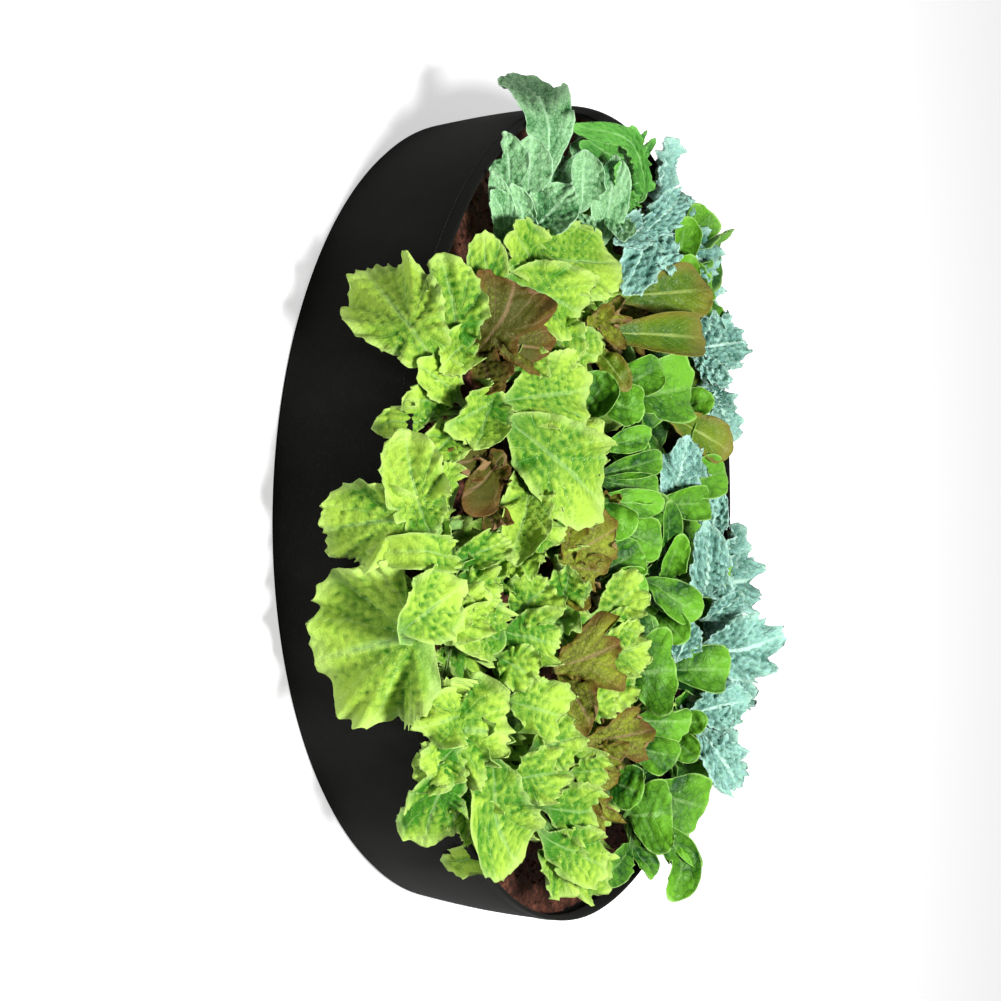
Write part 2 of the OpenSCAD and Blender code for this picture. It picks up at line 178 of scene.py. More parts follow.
def new_piece(name, points, faces, material, slot, *stands_for):
    """A piece with a smooth closed mesh."""
    mesh = bpy.data.meshes.new(name)
    mesh.from_pydata(points, [], faces)
    mesh.materials.append(material)
    mesh.shade_smooth()
    return bed_piece(name, mesh, slot, *stands_for)


def close_seams(piece):
    """Merges the points that meet on the axis or in a seam, then turns every face outwards."""
    shape = bmesh.new()
    shape.from_mesh(piece.data)
    bmesh.ops.remove_doubles(shape, verts=shape.verts, dist=1e-6)
    bmesh.ops.dissolve_degenerate(shape, edges=shape.edges, dist=1e-7)
    bmesh.ops.recalc_face_normals(shape, faces=shape.faces)
    shape.to_mesh(piece.data)
    shape.free()


def turned(outline, angles):
    """A closed outline of (radius, height) carried round the bed. outline(angle) may vary, and
    angles that don't come back to the first leave two ends, which are capped."""
    rows = [outline(a) for a in angles]
    count = len(rows[0])
    points = [(r * math.cos(a), r * math.sin(a), z) for a, row in zip(angles, rows) for r, z in row]
    faces = [(i * count + k, i * count + (k + 1) % count, (i + 1) * count + (k + 1) % count,
              (i + 1) * count + k) for i in range(len(rows) - 1) for k in range(count)]
    if abs(angles[-1] - angles[0] - 2 * math.pi) > 1e-9:
        faces += [tuple(range(count)), tuple(range(len(points) - count, len(points)))]
    return points, faces


felt = felt_material()
base_top = [(r, FELT_THICKNESS) for r in np.linspace(0, BASE_RADIUS - 0.0006, 12)]
base_outline = base_top + [(BASE_RADIUS, FELT_THICKNESS / 2)]
base_outline += [(r, 0.0) for r, _ in base_top[::-1]]
full_turn = np.linspace(0, 2 * math.pi, 241)
base = new_piece("base_felt", *turned(lambda angle: base_outline, full_turn), felt, "felt",
                 "base_panel")
close_seams(base)

# Wall panel: one long strip of the same felt. Its foot is turned in over the base and sewn down,
# its top is folded in as a hem, and its two ends lap at the back. The soil pushes it out.
WALL_HEIGHT = 0.222
FOOT_RADIUS = 0.615
WALL_LEAN = 0.020
WALL_BULGE = 0.004
HEM_WIDTH = 0.025
HEM_GAP = 0.0006
FLANGE_WIDTH = 0.016
FOOT_BEND = 0.003
SEAM_ANGLE = math.pi / 2
LAP_WIDTH = 0.036
LAP_EASE = 0.05
LAP_STEP = 1.07
FELT_WAVE = 0.0022

rim_radius = FOOT_RADIUS + WALL_LEAN


def wall_radius(z, angle=None):
    """The wall's outer face: leaning out, bulged by the soil, and a little uneven as felt is."""
    share = min(1, max(0, z / WALL_HEIGHT))
    even = FOOT_RADIUS + WALL_LEAN * share + WALL_BULGE * math.sin(math.pi * share)
    if angle is None:
        return even
    wave = (math.sin(5 * angle + 0.6) + 0.8 * math.sin(8 * angle + 2.2 + 2 * share)
            + 0.6 * math.sin(13 * angle + 4.1 - 3 * share))
    return even + FELT_WAVE * wave * share ** 1.3 / 2.4


def wall_middle(angle):
    """The felt's middle line, from the foot on the base up to the rim and down inside the hem."""
    half = FELT_THICKNESS / 2
    low = FELT_THICKNESS + half
    bend = FOOT_BEND + half
    bend_top = low + bend
    fold = (FELT_THICKNESS + HEM_GAP) / 2
    top = WALL_HEIGHT - half - fold
    foot = wall_radius(bend_top, angle) - half
    line = [(foot - FLANGE_WIDTH + 0.004 * k, low) for k in range(3)]
    line += [(foot - bend + bend * math.sin(a), low + bend - bend * math.cos(a))
             for a in np.linspace(0, math.pi / 2, 5)]
    line += [(wall_radius(z, angle) - half, z) for z in np.linspace(bend_top, top, 28)[1:]]
    crest = wall_radius(top, angle) - half
    line += [(crest - fold + fold * math.cos(a), top + fold * math.sin(a))
             for a in np.linspace(0, math.pi, 9)[1:]]
    line += [(wall_radius(z, angle) - half - 2 * fold, z)
             for z in np.linspace(top, WALL_HEIGHT - HEM_WIDTH, 6)[1:]]
    return np.array(line)


def wall_outline(angle):
    """The felt's section, moved inwards by one thickness where the far end laps behind the near."""
    line = wall_middle(angle)
    beyond = (angle - (SEAM_ANGLE + LAP_WIDTH / rim_radius / 2) - 2 * math.pi) * rim_radius
    share = min(1, max(0, 1 + beyond / LAP_EASE + LAP_WIDTH / LAP_EASE))
    inward = FELT_THICKNESS * LAP_STEP * share
    along = np.gradient(line, axis=0)
    across = np.stack([-along[:, 1], along[:, 0]], 1)
    across *= FELT_THICKNESS / 2 / np.linalg.norm(across, axis=1)[:, None]
    line[:, 0] -= inward * np.clip((line[:, 1] - 0.008) / 0.02, 0, 1)
    sides = np.concatenate([line - across, (line + across)[::-1]])
    return [tuple(p) for p in sides]


wall_start = SEAM_ANGLE - LAP_WIDTH / rim_radius / 2
wall_turns = np.linspace(wall_start, wall_start + 2 * math.pi + LAP_WIDTH / rim_radius, 380)
wall = new_piece("wall_felt", *turned(wall_outline, wall_turns), felt, "felt", "wall_panel")
close_seams(wall)
wall_line = wall_middle(0)

# Sewing thread: black spun polyester in lockstitches, one row round the hem, one round the wall's
# foot inside the bed, and two rows up the lap. Each stitch is a bead pressed into the felt.
THREAD_RADIUS = 0.0006
STITCH_LENGTH = 0.0075
STITCH_SHARE = 0.94
STITCH_SINK = 0.0001
HEM_STITCH_HEIGHT = 0.202
LAP_STITCH_HEIGHTS = np.linspace(0.012, 0.196, 24)
LAP_STITCH_INSET = 0.004
THREAD_BLACK = (0.010, 0.010, 0.009)
# THREAD_PAINTED_SHINE is the lighter stripe along the plies, a painted shine.
THREAD_PAINTED_SHINE = (0.036, 0.036, 0.033)


def thread_material():
    """Black twisted thread, its plies striped a little lighter in its colour as a painted shine."""
    made, tree = new_material("thread")
    place = node(tree, "ShaderNodeTexCoord", out="Object")
    plies = node(tree, "ShaderNodeTexWave", None,
                 {"Vector": place, "Scale": 420, "Distortion": 3, "Detail": 1})
    finish_material(tree, {
        "Base Color": mix(tree, THREAD_BLACK, THREAD_PAINTED_SHINE, plies * 0.5), "Roughness": 0.6,
        "Specular IOR Level": 0.15, "Normal": bump(tree, plies, 0.4, 0.0002)})
    return made


def growth_tree(name, source, numbers, result):
    """An empty tree of geometry nodes, and the values of its source and of its named numbers."""
    tree = bpy.data.node_groups.new(name, "GeometryNodeTree")
    entries = {source: "Geometry", **numbers}
    for entry, kind in entries.items():
        tree.interface.new_socket(entry, in_out="INPUT", socket_type="NodeSocket" + kind)
    tree.interface.new_socket(result, in_out="OUTPUT", socket_type="NodeSocketGeometry")
    outputs = tree.nodes.new("NodeGroupInput").outputs
    return tree, [Value(outputs[k]) for k in range(len(entries))]


def end_growth(tree, placed, material):
    """Ends a tree in one plain mesh of one material."""
    solid = node(tree, "GeometryNodeRealizeInstances", None, {"Geometry": placed})
    dressed = node(tree, "GeometryNodeSetMaterial", None,
                   {"Geometry": solid, "Material": material})
    node(tree, "NodeGroupOutput", None, {0: dressed}, out=None)
    return tree


def stitch_tree(material):
    """Geometry nodes that set one rounded stitch on every step of a seam's line."""
    tree, (seam, length, radius) = growth_tree(
        "stitches", "Seam", {"Stitch length": "Float", "Thread radius": "Float"}, "Stitches")
    points = node(tree, "GeometryNodeCurveToPoints", {"mode": "LENGTH"},
                  {"Curve": seam, "Length": length})
    turns = Value(points.socket.node.outputs["Rotation"])
    bead = node(tree, "GeometryNodeSetShadeSmooth", None, {"Geometry": node(
        tree, "GeometryNodeMeshUVSphere", None, {"Segments": 6, "Rings": 5, "Radius": 1.0})})
    stitch = node(tree, "GeometryNodeTransform", None, {
        "Geometry": bead, "Scale": node(tree, "ShaderNodeCombineXYZ", None, {
            "X": radius, "Y": radius, "Z": length * (STITCH_SHARE / 2)})})
    placed = node(tree, "GeometryNodeInstanceOnPoints", None,
                  {"Points": points, "Instance": stitch, "Rotation": turns})
    return end_growth(tree, placed, material)


def grown(name, source, tree, inputs, slot, *stands_for):
    """Runs a geometry tree on a source object and keeps its result as a plain mesh."""
    growth = source.modifiers.new("growth", "NODES")
    growth.node_group = tree
    for item in tree.interface.items_tree:
        if item.in_out == "INPUT" and item.name in inputs:
            growth[item.identifier] = inputs[item.name]
    bpy.context.view_layer.update()
    seen = source.evaluated_get(bpy.context.evaluated_depsgraph_get())
    mesh = bpy.data.meshes.new_from_object(seen)
    mesh.name = name
    source.modifiers.remove(growth)
    bpy.data.objects.remove(source)
    bed_piece(name, mesh, slot, *stands_for)


def seam_line(ring, *lines):
    """A curve object with one poly spline for each list of points, closed in a ring or not."""
    data = bpy.data.curves.new("seam", "CURVE")
    data.dimensions = "3D"
    for points in lines:
        spline = data.splines.new("POLY")
        spline.points.add(len(points) - 1)
        spline.points.foreach_set("co", np.c_[points, np.ones(len(points))].ravel())
        spline.use_cyclic_u = ring
    return new_object("seam", data)


def wall_thread(angle, z):
    """A point of the thread on the wall's outer face."""
    r = wall_radius(z, angle) + THREAD_RADIUS - STITCH_SINK
    return r * math.cos(angle), r * math.sin(angle), z


thread = thread_material()
stitches = stitch_tree(thread)
stitch_sizes = {"Stitch length": STITCH_LENGTH, "Thread radius": THREAD_RADIUS}
hem_seam = seam_line(True, [wall_thread(a, HEM_STITCH_HEIGHT) for a in full_turn[:-1]])
grown("hem_stitches", hem_seam, stitches, stitch_sizes, "thread", "hem_thread")
foot_r = FOOT_RADIUS - FLANGE_WIDTH / 2 - 0.001
foot_z = 2 * FELT_THICKNESS + THREAD_RADIUS - STITCH_SINK
foot_seam = seam_line(True, [(foot_r * math.cos(a), foot_r * math.sin(a), foot_z)
                             for a in full_turn[:-1]])
grown("foot_stitches", foot_seam, stitches, stitch_sizes, "thread", "base_seam_thread")
lap_angles = [SEAM_ANGLE + side * (LAP_WIDTH / 2 - LAP_STITCH_INSET) / rim_radius for side in (-1, 1)]
lap_seam = seam_line(False, *([wall_thread(a, z) for z in LAP_STITCH_HEIGHTS] for a in lap_angles))
grown("lap_stitches", lap_seam, stitches, stitch_sizes, "thread", "side_seam_thread")

# Soil: dark reddish-brown potting mix of composted bark and peat, filled to 40 mm below the rim,
# raked loosely and a little higher in the middle. Bark crumbs lie on it.
SOIL_EDGE = 0.182
SOIL_MOUND = 0.010
SOIL_FLOOR = 0.0035
SOIL_FOOT = 0.595
SOIL_INSET = 2.2
SOIL_LUMP = 0.004
SOIL_CRUMBS = 4000
CRUMB_SIZE = 0.0042
CRUMB_RINGS = 30
SOIL_DARK = (0.020, 0.008, 0.005)
SOIL_BROWN = (0.080, 0.028, 0.017)
SOIL_BARK = (0.230, 0.083, 0.048)


def soil_height(r):
    return SOIL_EDGE + SOIL_MOUND * (1 - min(1, r / FOOT_RADIUS) ** 2)


def lumps(x, y, size, seed, waves=9):
    """Smooth unevenness of about the given size: a sum of waves that run every way."""
    draw = np.random.default_rng(seed)
    total = np.zeros(np.broadcast(x, y).shape)
    for k in range(waves):
        way = draw.uniform(0, 2 * math.pi)
        pace = 2 * math.pi / size * draw.uniform(0.6, 1.6)
        total += np.sin(pace * (np.cos(way) * x + np.sin(way) * y) + draw.uniform(0, 6.28))
    return total / waves ** 0.5


def soil_material():
    """Damp crumbs of dark peat and reddish bark."""
    made, tree = new_material("soil")
    place = node(tree, "ShaderNodeTexCoord", out="Object")
    broad = noise(tree, place, 60, 6, 0.7)
    grains = node(tree, "ShaderNodeTexVoronoi", None,
                  {"Vector": place, "Scale": 330, "Randomness": 1.0})
    colour = mix(tree, mix(tree, SOIL_DARK, SOIL_BROWN, broad.between(0.35, 0.65)), SOIL_BARK,
                 grains.between(0.45, 0.75) * broad.between(0.45, 0.7) * 0.7)
    finish_material(tree, {
        "Base Color": colour, "Roughness": broad * 0.3 + 0.65, "Specular IOR Level": 0.12,
        "Normal": bump(tree, broad + (1 - grains) * 0.6, 0.7, 0.002)})
    return made


soil = soil_material()
soil_wall = [(wall_radius(z) - FELT_THICKNESS * SOIL_INSET, z)
             for z in np.linspace(0.014, SOIL_EDGE, 12)]
soil_top = [(r, soil_height(r)) for r in np.linspace(soil_wall[-1][0], 0, 120)]
soil_outline = [(0, SOIL_FLOOR), (SOIL_FOOT, SOIL_FLOOR), (SOIL_FOOT + 0.001, 0.010)]
soil_outline += soil_wall + soil_top[1:]
soil_points, soil_faces = turned(lambda angle: soil_outline, full_turn)
soil_points = np.array(soil_points)
x, y, z = soil_points.T
rough = lumps(x, y, 0.06, 3) + 0.6 * lumps(x, y, 0.018, 4)
soil_points[:, 2] += (z >= SOIL_EDGE - 1e-9) * SOIL_LUMP * 0.6 * rough
ground = new_piece("soil", soil_points.tolist(), soil_faces, soil, "soil", "soil_fill")
close_seams(ground)


def crumb_tree(material):
    """Geometry nodes that strew rough crumbs over the upper side of a surface."""
    tree, (surface, density, size, seed) = growth_tree(
        "crumbs", "Ground", {"Density": "Float", "Crumb size": "Float", "Seed": "Int"}, "Crumbs")
    strewn = node(tree, "GeometryNodeDistributePointsOnFaces", {"distribute_method": "RANDOM"},
                  {"Mesh": surface, "Density": density, "Seed": seed})
    crumb = node(tree, "GeometryNodeMeshIcoSphere", None, {"Radius": size, "Subdivisions": 1})
    turn = node(tree, "FunctionNodeRandomValue", {"data_type": "FLOAT_VECTOR"},
                {"Max": (6.28, 6.28, 6.28), "Seed": 5})
    spread = node(tree, "FunctionNodeRandomValue", {"data_type": "FLOAT_VECTOR"},
                  {"Min": (0.35, 0.3, 0.25), "Max": (1.5, 0.9, 0.6), "Seed": 6})
    placed = node(tree, "GeometryNodeInstanceOnPoints", None,
                  {"Points": strewn, "Instance": crumb, "Rotation": turn, "Scale": spread})
    return end_growth(tree, placed, material)


top_mesh = bpy.data.meshes.new("soil_surface")
spokes = full_turn[:-1:2]
disc = [(r * math.cos(a), r * math.sin(a), soil_height(r) + 0.001)
        for r in np.linspace(0.02, FOOT_RADIUS, CRUMB_RINGS) for a in spokes]
ring = len(spokes)
top_mesh.from_pydata(disc, [], [
    (i * ring + k, (i + 1) * ring + k, (i + 1) * ring + (k + 1) % ring, i * ring + (k + 1) % ring)
    for i in range(CRUMB_RINGS - 1) for k in range(ring)])
grown("soil_crumbs", new_object("soil_surface", top_mesh), crumb_tree(soil), {
    "Density": SOIL_CRUMBS / (math.pi * FOOT_RADIUS ** 2), "Crumb size": CRUMB_SIZE, "Seed": 11},
    "soil")

# Leaf lettuce: limp lime-green leaves with toothed, frilled edges, a pale flat midrib, and blisters
# between the veins. Each plant stands on one short stem. Along the front they hang over the rim.
STEM_RADIUS = 0.009
STEM_SEAT = 0.6
STEM_SIDES = 8
BUTT_SIDES = 10
BUTT_FOOT = 0.012
ROOT_DEPTH = 0.0258
GOLDEN_ANGLE = 2.39996
STALK = 0.12
SPINE_STEPS = 60
RIM_REST = 0.004
HEM_DEPTH = 0.013
REACH = 0.655
NEAR_RIM = 0.56
RIM_SHOULDER = 0.015
RIM_FALL = 1.3
LOWEST_LEAF = 0.012
HIDING_GAP = 0.006
HIDING_STEPS = [27, 38, 48, 57]
MARKED_SHARES = (0.3, 0.5, 0.7, 0.9)
SAME_WAY = 0.86
# Blades of another kind than their plant's own, for some of the leading leaves.
KINDS = dict(
    fan=dict(outline=((0, 0.12, 0.2, 0.35, 0.55, 0.75, 0.9, 1),
                      (0.06, 0.1, 0.72, 0.98, 1, 0.9, 0.70, 0.4)),
             ear=0.5, heart=0.2, cup=0.25, veins=11, teeth=(44, 0.05), lobes=(7, 0.05)),
    round=dict(lobes=(4, 0.03), teeth=(40, 0.04), frill=(0.07, 5)),
    oak=dict(lobes=(6, 0.26)),
    smooth=dict(lobes=(3, 0.05), teeth=(24, 0.05), frill=(0.045, 5), puff=0.0020))
# The leading leaves, plant by plant, set as the photograph shows them. A row holds the blade's width
# and the line it follows from base to tip, as x, y, z for each point, in millimetres. What else sets
# it apart comes last: roll and twist are degrees, fine is a finer mesh, and own is the leaf's shade.
LEADERS = dict(
    leaf_lettuce_2=[(96, -80, -245, 245, -130, -150, 300, dict(fine=1.2))],
    leaf_lettuce_3=[(90, -290, -255, 245, -210, -245, 290), (90, -250, -250, 245, -235, -150, 295)],
    leaf_lettuce_4=[
        (140, -200, -585, 235, -220, -605, 230, -335, -570, 110, dict(fine=1.6, cup=0.4, own=1.1)),
        (102, -220, -505, 235, -355, -560, 230, dict(fine=1.5, cup=0.3)),
        (66, -290, -435, 240, -395, -475, 250, dict(fine=1.2, kind="smooth")),
        (70, -245, -475, 235, -190, -600, 245),
        (128, -365, -315, 245, -380, -115, 305, dict(fine=1.5, cup=0.5, kind="round")),
        (125, -330, -370, 240, -295, -215, 300, dict(fine=1.5, kind="round", own=0.6)),
        (85, -360, -290, 245, -405, -425, 265)],
    leaf_lettuce_5=[
        (146, -130, -365, 240, -75, -300, 295, -10, -155, 305,
         dict(fine=1.7, cup=0.5, kind="round", own=0.6)),
        (130, -160, -360, 240, -185, -190, 300, dict(fine=1.5, kind="round", own=0.7)),
        (70, -205, -340, 245, -240, -335, 285),
        (88, -165, -395, 240, -110, -595, 265, dict(fine=1.4)),
        (84, -165, -420, 240, -85, -545, 280, dict(kind="smooth")),
        (66, -160, -510, 235, -200, -630, 225), (62, -155, -520, 235, -145, -630, 200),
        (48, -130, -580, 225, -110, -640, 170), (66, -115, -510, 235, -70, -615, 245)],
    leaf_lettuce_6=[(98, 30, -600, 240, -25, -645, 240, -110, -645, 220, dict(fine=1.4, roll=10)),
        (125, 20, -605, 235, 15, -645, 220, 30, -660, 100, dict(fine=1.5)),
        (62, 55, -530, 240, 55, -640, 250, 55, -650, 180, dict(cup=0.9)),
        (70, -15, -525, 235, -60, -615, 245),
        (62, 70, -520, 235, 40, -450, 290, dict(cup=1.5, twist=30)),
        (60, 95, -525, 235, 75, -615, 245)],
    leaf_lettuce_7=[(80, 100, -510, 235, 120, -465, 285),
        (115, 170, -360, 240, 195, -280, 295, dict(fine=1.5)),
        (95, 150, -350, 245, 100, -295, 290, dict(fine=1.2)), (100, 175, -370, 240, 150, -575, 265),
        (110, 20, -355, 240, 20, -270, 290, dict(fine=1.2)), (80, 55, -355, 245, 95, -370, 285)],
    leaf_lettuce_8=[
        (236, 170, -610, 235, 175, -620, 210, 210, -635, 75,
         dict(fine=1.9, kind="fan", ear=0.14, roll=0, own=1.1)),
        (112, 160, -670, 240, 100, -575, 270, dict(fine=1.5, cup=0.4, roll=-10, kind="round")),
        (95, 150, -585, 220, 135, -485, 280, dict(fine=1.3)), (80, 160, -585, 220, 95, -585, 265),
        (170, 300, -510, 225, 310, -440, 290, dict(fine=1.7, kind="fan", ear=0.85)),
        (70, 130, -560, 235, 150, -535, 275)],
    leaf_lettuce_9=[(95, 230, -50, 255, 200, 35, 305), (85, 155, -40, 255, 105, 20, 305),
        (70, 170, -40, 255, 185, 10, 305), (70, 305, -110, 255, 265, -70, 295),
        (76, 140, -190, 250, 85, -230, 290)],
    leaf_lettuce_10=[(80, 210, -370, 240, 240, -340, 285),
        (90, 285, -480, 240, 290, -570, 240, 300, -575, 210, dict(fine=1.2, cup=0.3)),
        (105, 275, -345, 245, 300, -250, 295, dict(cup=0.4))],
    leaf_lettuce_11=[(66, 465, -355, 230, 510, -405, 170),
        (100, 480, -225, 250, 540, -105, 300, dict(fine=1.2)), (90, 470, -210, 250, 580, -155, 260),
        (100, 440, -215, 250, 455, -130, 300, dict(fine=1.2)),
        (96, 350, -250, 245, 330, -200, 295, dict(fine=1.2))],
    leaf_lettuce_12=[(90, 520, -175, 250, 570, -45, 285), (66, 395, -130, 255, 390, -85, 295)],
    leaf_lettuce_13=[(90, 315, -500, 230, 375, -550, 220, dict(fine=1.3)),
        (132, 355, -400, 240, 435, -425, 265, 510, -345, 260,
         dict(fine=1.6, cup=1.0, kind="smooth", roll=12, twist=0, own=0.3)),
        (95, 385, -340, 245, 380, -255, 295),
        (100, 355, -490, 240, 380, -520, 230, 465, -460, 165, dict(fine=1.4, own=-0.5)),
        (84, 330, -515, 240, 350, -535, 225, 360, -540, 190, dict(own=0.0)),
        (80, 400, -445, 225, 455, -455, 210), (84, 420, -435, 220, 460, -415, 250)],
    leaf_lettuce_14=[(88, -55, -280, 245, 70, -435, 285, dict(fine=1.3)),
        (80, -20, -145, 250, -70, -210, 290)],
    leaf_lettuce_15=[(85, 250, -35, 255, 305, -30, 300)],
    red_lettuce_1=[(100, -295, -75, 240, -300, -45, 305), (70, -275, -65, 240, -320, -140, 290)],
    red_lettuce_2=[(96, 75, -160, 235, 15, -75, 305), (70, 80, -155, 235, 90, -100, 300),
        (60, 85, -155, 235, 150, -190, 295), (56, 70, -140, 235, 0, -230, 290),
        (48, -15, -15, 245, -30, -55, 295)],
    red_lettuce_3=[(135, 235, -160, 235, 200, -60, 305, dict(fine=1.3)),
        (86, 240, -145, 235, 335, -150, 300)],
    red_lettuce_4=[(96, 355, -50, 240, 340, 70, 310), (66, 365, -40, 240, 390, -15, 305),
        (86, 410, -110, 240, 430, -55, 300), (70, 430, -100, 240, 490, -50, 300)],
    red_lettuce_5=[
        (128, -220, -435, 225, -280, -455, 280, -355, -430, 285,
         dict(fine=1.5, own=-0.7, roll=0, twist=0, kind="oak")),
        (84, -240, -415, 225, -235, -320, 295, dict(own=-0.7, fine=1.3, roll=0, kind="oak")),
        (76, -230, -430, 225, -160, -490, 280, dict(own=-0.7, roll=0, kind="oak"))],
    # red_lettuce_6's leaves take a dark own tone as painted shade: the plant stands in a shaded
    # hollow.
    red_lettuce_6=[(84, -70, -350, 230, -5, -595, 265, dict(own=-0.9)),
        (66, -15, -405, 225, 40, -465, 280, dict(own=-0.5)),
        (62, -45, -415, 225, -75, -445, 280, dict(own=-0.9)),
        (66, -75, -395, 225, -60, -600, 255, dict(own=-0.9))],
    butterhead_1=[(66, -390, 240, 255, -490, 180, 305), (74, -375, 215, 255, -425, 205, 305)],
    butterhead_2=[(122, -180, 60, 245, -210, 190, 320, dict(cup=0.5, fine=1.2)),
        (84, -195, 20, 245, -235, 70, 310, dict(cup=1.1)), (84, -180, -20, 245, -155, 5, 305),
        (66, -180, 285, 255, -195, 290, 315)],
    butterhead_3=[(74, -15, 200, 255, -20, 280, 320), (86, -45, 230, 255, -75, 335, 325)],
    butterhead_4=[(52, 95, 215, 255, -25, 100, 315), (66, 165, 210, 255, 210, 200, 305)],
    butterhead_5=[(100, 255, 240, 265, 255, 310, 345),
        (165, 255, 105, 250, 250, 140, 315, dict(cup=0.7))],
    butterhead_6=[(50, 350, 290, 255, 340, 290, 315),
        (78, 375, 110, 250, 390, 155, 315, dict(cup=1.0)), (56, 365, 245, 255, 400, 235, 320),
        (84, 335, 135, 250, 335, 205, 315)],
    butterhead_7=[(108, 455, 195, 250, 485, 280, 320, dict(cup=0.5)),
        (84, 425, 45, 245, 440, 45, 300),
        (76, 500, 165, 260, 565, 200, 305, 625, 155, 300, dict(fine=1.3)),
        (34, 515, 230, 260, 540, 205, 305, 575, 220, 335),
        (150, 485, 115, 250, 480, 140, 315, dict(cup=1.0, fine=1.3)),
        (62, 530, 90, 260, 570, -60, 270), (50, 535, 105, 260, 585, 125, 290)],
    butterhead_8=[(74, 110, 155, 250, 165, 230, 320), (62, 115, 210, 255, 30, 160, 310),
        (92, 115, -10, 245, 120, 35, 305), (80, 90, -10, 245, 55, 25, 300)],
    butterhead_9=[(60, -60, -15, 245, -90, 75, 310), (48, -100, -20, 245, -130, 40, 305),
        (66, -50, -15, 245, -35, 65, 310), (54, -20, -55, 240, -15, 70, 315),
        (74, -5, -50, 240, 25, -20, 305), (80, 15, 25, 245, 60, 75, 310),
        (84, -150, -85, 240, -215, -100, 290)],
    romaine_1=[(98, -345, 65, 245, -365, 180, 350, dict(cup=0.5)),
        (94, -285, 15, 245, -285, 165, 350, dict(cup=1.1)), (48, -260, -50, 240, -190, -45, 300)],
    romaine_2=[(80, -165, 225, 255, -105, 335, 330, dict(cup=0.7))],
    kale_1=[(118, 230, 310, 285, 225, 355, 345, 200, 440, 390, dict(fine=1.6, roll=0, twist=0)),
        (90, 330, 310, 275, 310, 410, 345, dict(fine=1.4, roll=0)),
        (84, 350, 315, 285, 390, 310, 320, 465, 410, 330, dict(fine=1.4)),
        (76, 320, 350, 260, 360, 355, 335), (60, 240, 240, 275, 170, 250, 300)],
    kale_2=[(86, 145, 385, 260, 80, 275, 315, 0, 255, 315, dict(fine=1.6, roll=0)),
        (52, 55, 410, 260, -50, 335, 310), (46, 175, 350, 285, 130, 410, 335),
        (84, -20, 255, 255, -135, 180, 310)],
    kale_3=[(92, -280, 340, 260, -300, 440, 320, dict(fine=1.4)),
        (64, -290, 355, 260, -335, 295, 315), (48, -265, 340, 260, -215, 355, 320)],
    kale_4=[(86, -470, 125, 260, -405, 50, 275, -335, -10, 270, dict(fine=1.5)),
        (66, -440, 80, 260, -530, 215, 290, dict(fine=1.5)),
        (80, -460, 130, 250, -380, 95, 310, dict(fine=1.3)), (66, -465, 130, 250, -415, -85, 290)],
    sage_1=[(96, -490, -215, 235, -570, -255, 250, -680, -130, 125, dict(fine=1.5)),
        (80, -460, -120, 240, -550, -175, 275, dict(cup=1.4)),
        (84, -415, -265, 230, -480, -255, 295, dict(cup=0.5)), (66, -415, -30, 240, -555, -90, 290),
        (56, -480, 5, 245, -415, -75, 300), (60, -415, -155, 235, -445, -175, 290),
        (46, -410, -340, 230, -455, -430, 240), (70, -460, -280, 230, -550, -310, 245),
        (64, -465, -330, 225, -550, -355, 225),
        (48, -405, -280, 230, -470, -395, 255, dict(cup=1.4)),
        (44, -365, -340, 230, -485, -415, 235, dict(cup=0.9))],
    rocket_1=[(50, -500, 95, 250, -570, 0, 285, -585, -185, 250, dict(fine=1.5)),
        (48, -545, 60, 240, -570, -165, 260), (46, -485, 30, 245, -535, -115, 295)])
# The upper sides of the leading leaves turn this way, and FRONT turns a place in the bed to how it
# is seen from the front and a little above: across, up, and towards the one who looks.
LEADER_FACE = (0.0, -0.75, 0.66)
FRONT = np.array([(1.0, 0.0, 0.0), (0.0, 0.44, 0.90), (0.0, -0.90, 0.44)])
# A plant's habit: its blade's outline and how its tip arcs, the heart its veins and teeth fan from,
# its mesh, edge and relief, with ridge the painted light and shade that its blisters' height adds
# to its colour, and then the rosette: the number of leaves, their length and width, and how they
# rise and droop from the outermost to the inner ones.
LETTUCE = dict(
    outline=((0, 0.1, 0.25, 0.45, 0.65, 0.84, 0.94, 1),
             (0.09, 0.12, 0.54, 0.89, 1.0, 0.90, 0.72, 0.50)),
    arc=0.09, ear=0.0, heart=0.40, grid=(29, 33), thickness=0.0008, rib=0.0022, cup=0.5,
    lobes=(5, 0.07), teeth=(44, 0.05), frill=(0.10, 7), puff=0.0025, puff_size=0.014, ridge=0.22,
    veins=7, slope=0.30, fan=True, count=11, length=0.190, inner=0.5, width=0.92, rise=(24, 74),
    droop=(60, 14), joint=0.006, press=0.86)


def smooth_steps(places, values, at):
    """A smooth curve through a few points."""
    places, values = np.array(places, float), np.array(values, float)
    slopes = np.gradient(values, places)
    k = np.clip(np.searchsorted(places, at) - 1, 0, len(places) - 2)
    gap = places[k + 1] - places[k]
    u = (at - places[k]) / gap
    return ((2 * u ** 3 - 3 * u ** 2 + 1) * values[k] + (u ** 3 - 2 * u ** 2 + u) * gap * slopes[k]
            + (3 * u ** 2 - 2 * u ** 3) * values[k + 1] + (u ** 3 - u ** 2) * gap * slopes[k + 1])


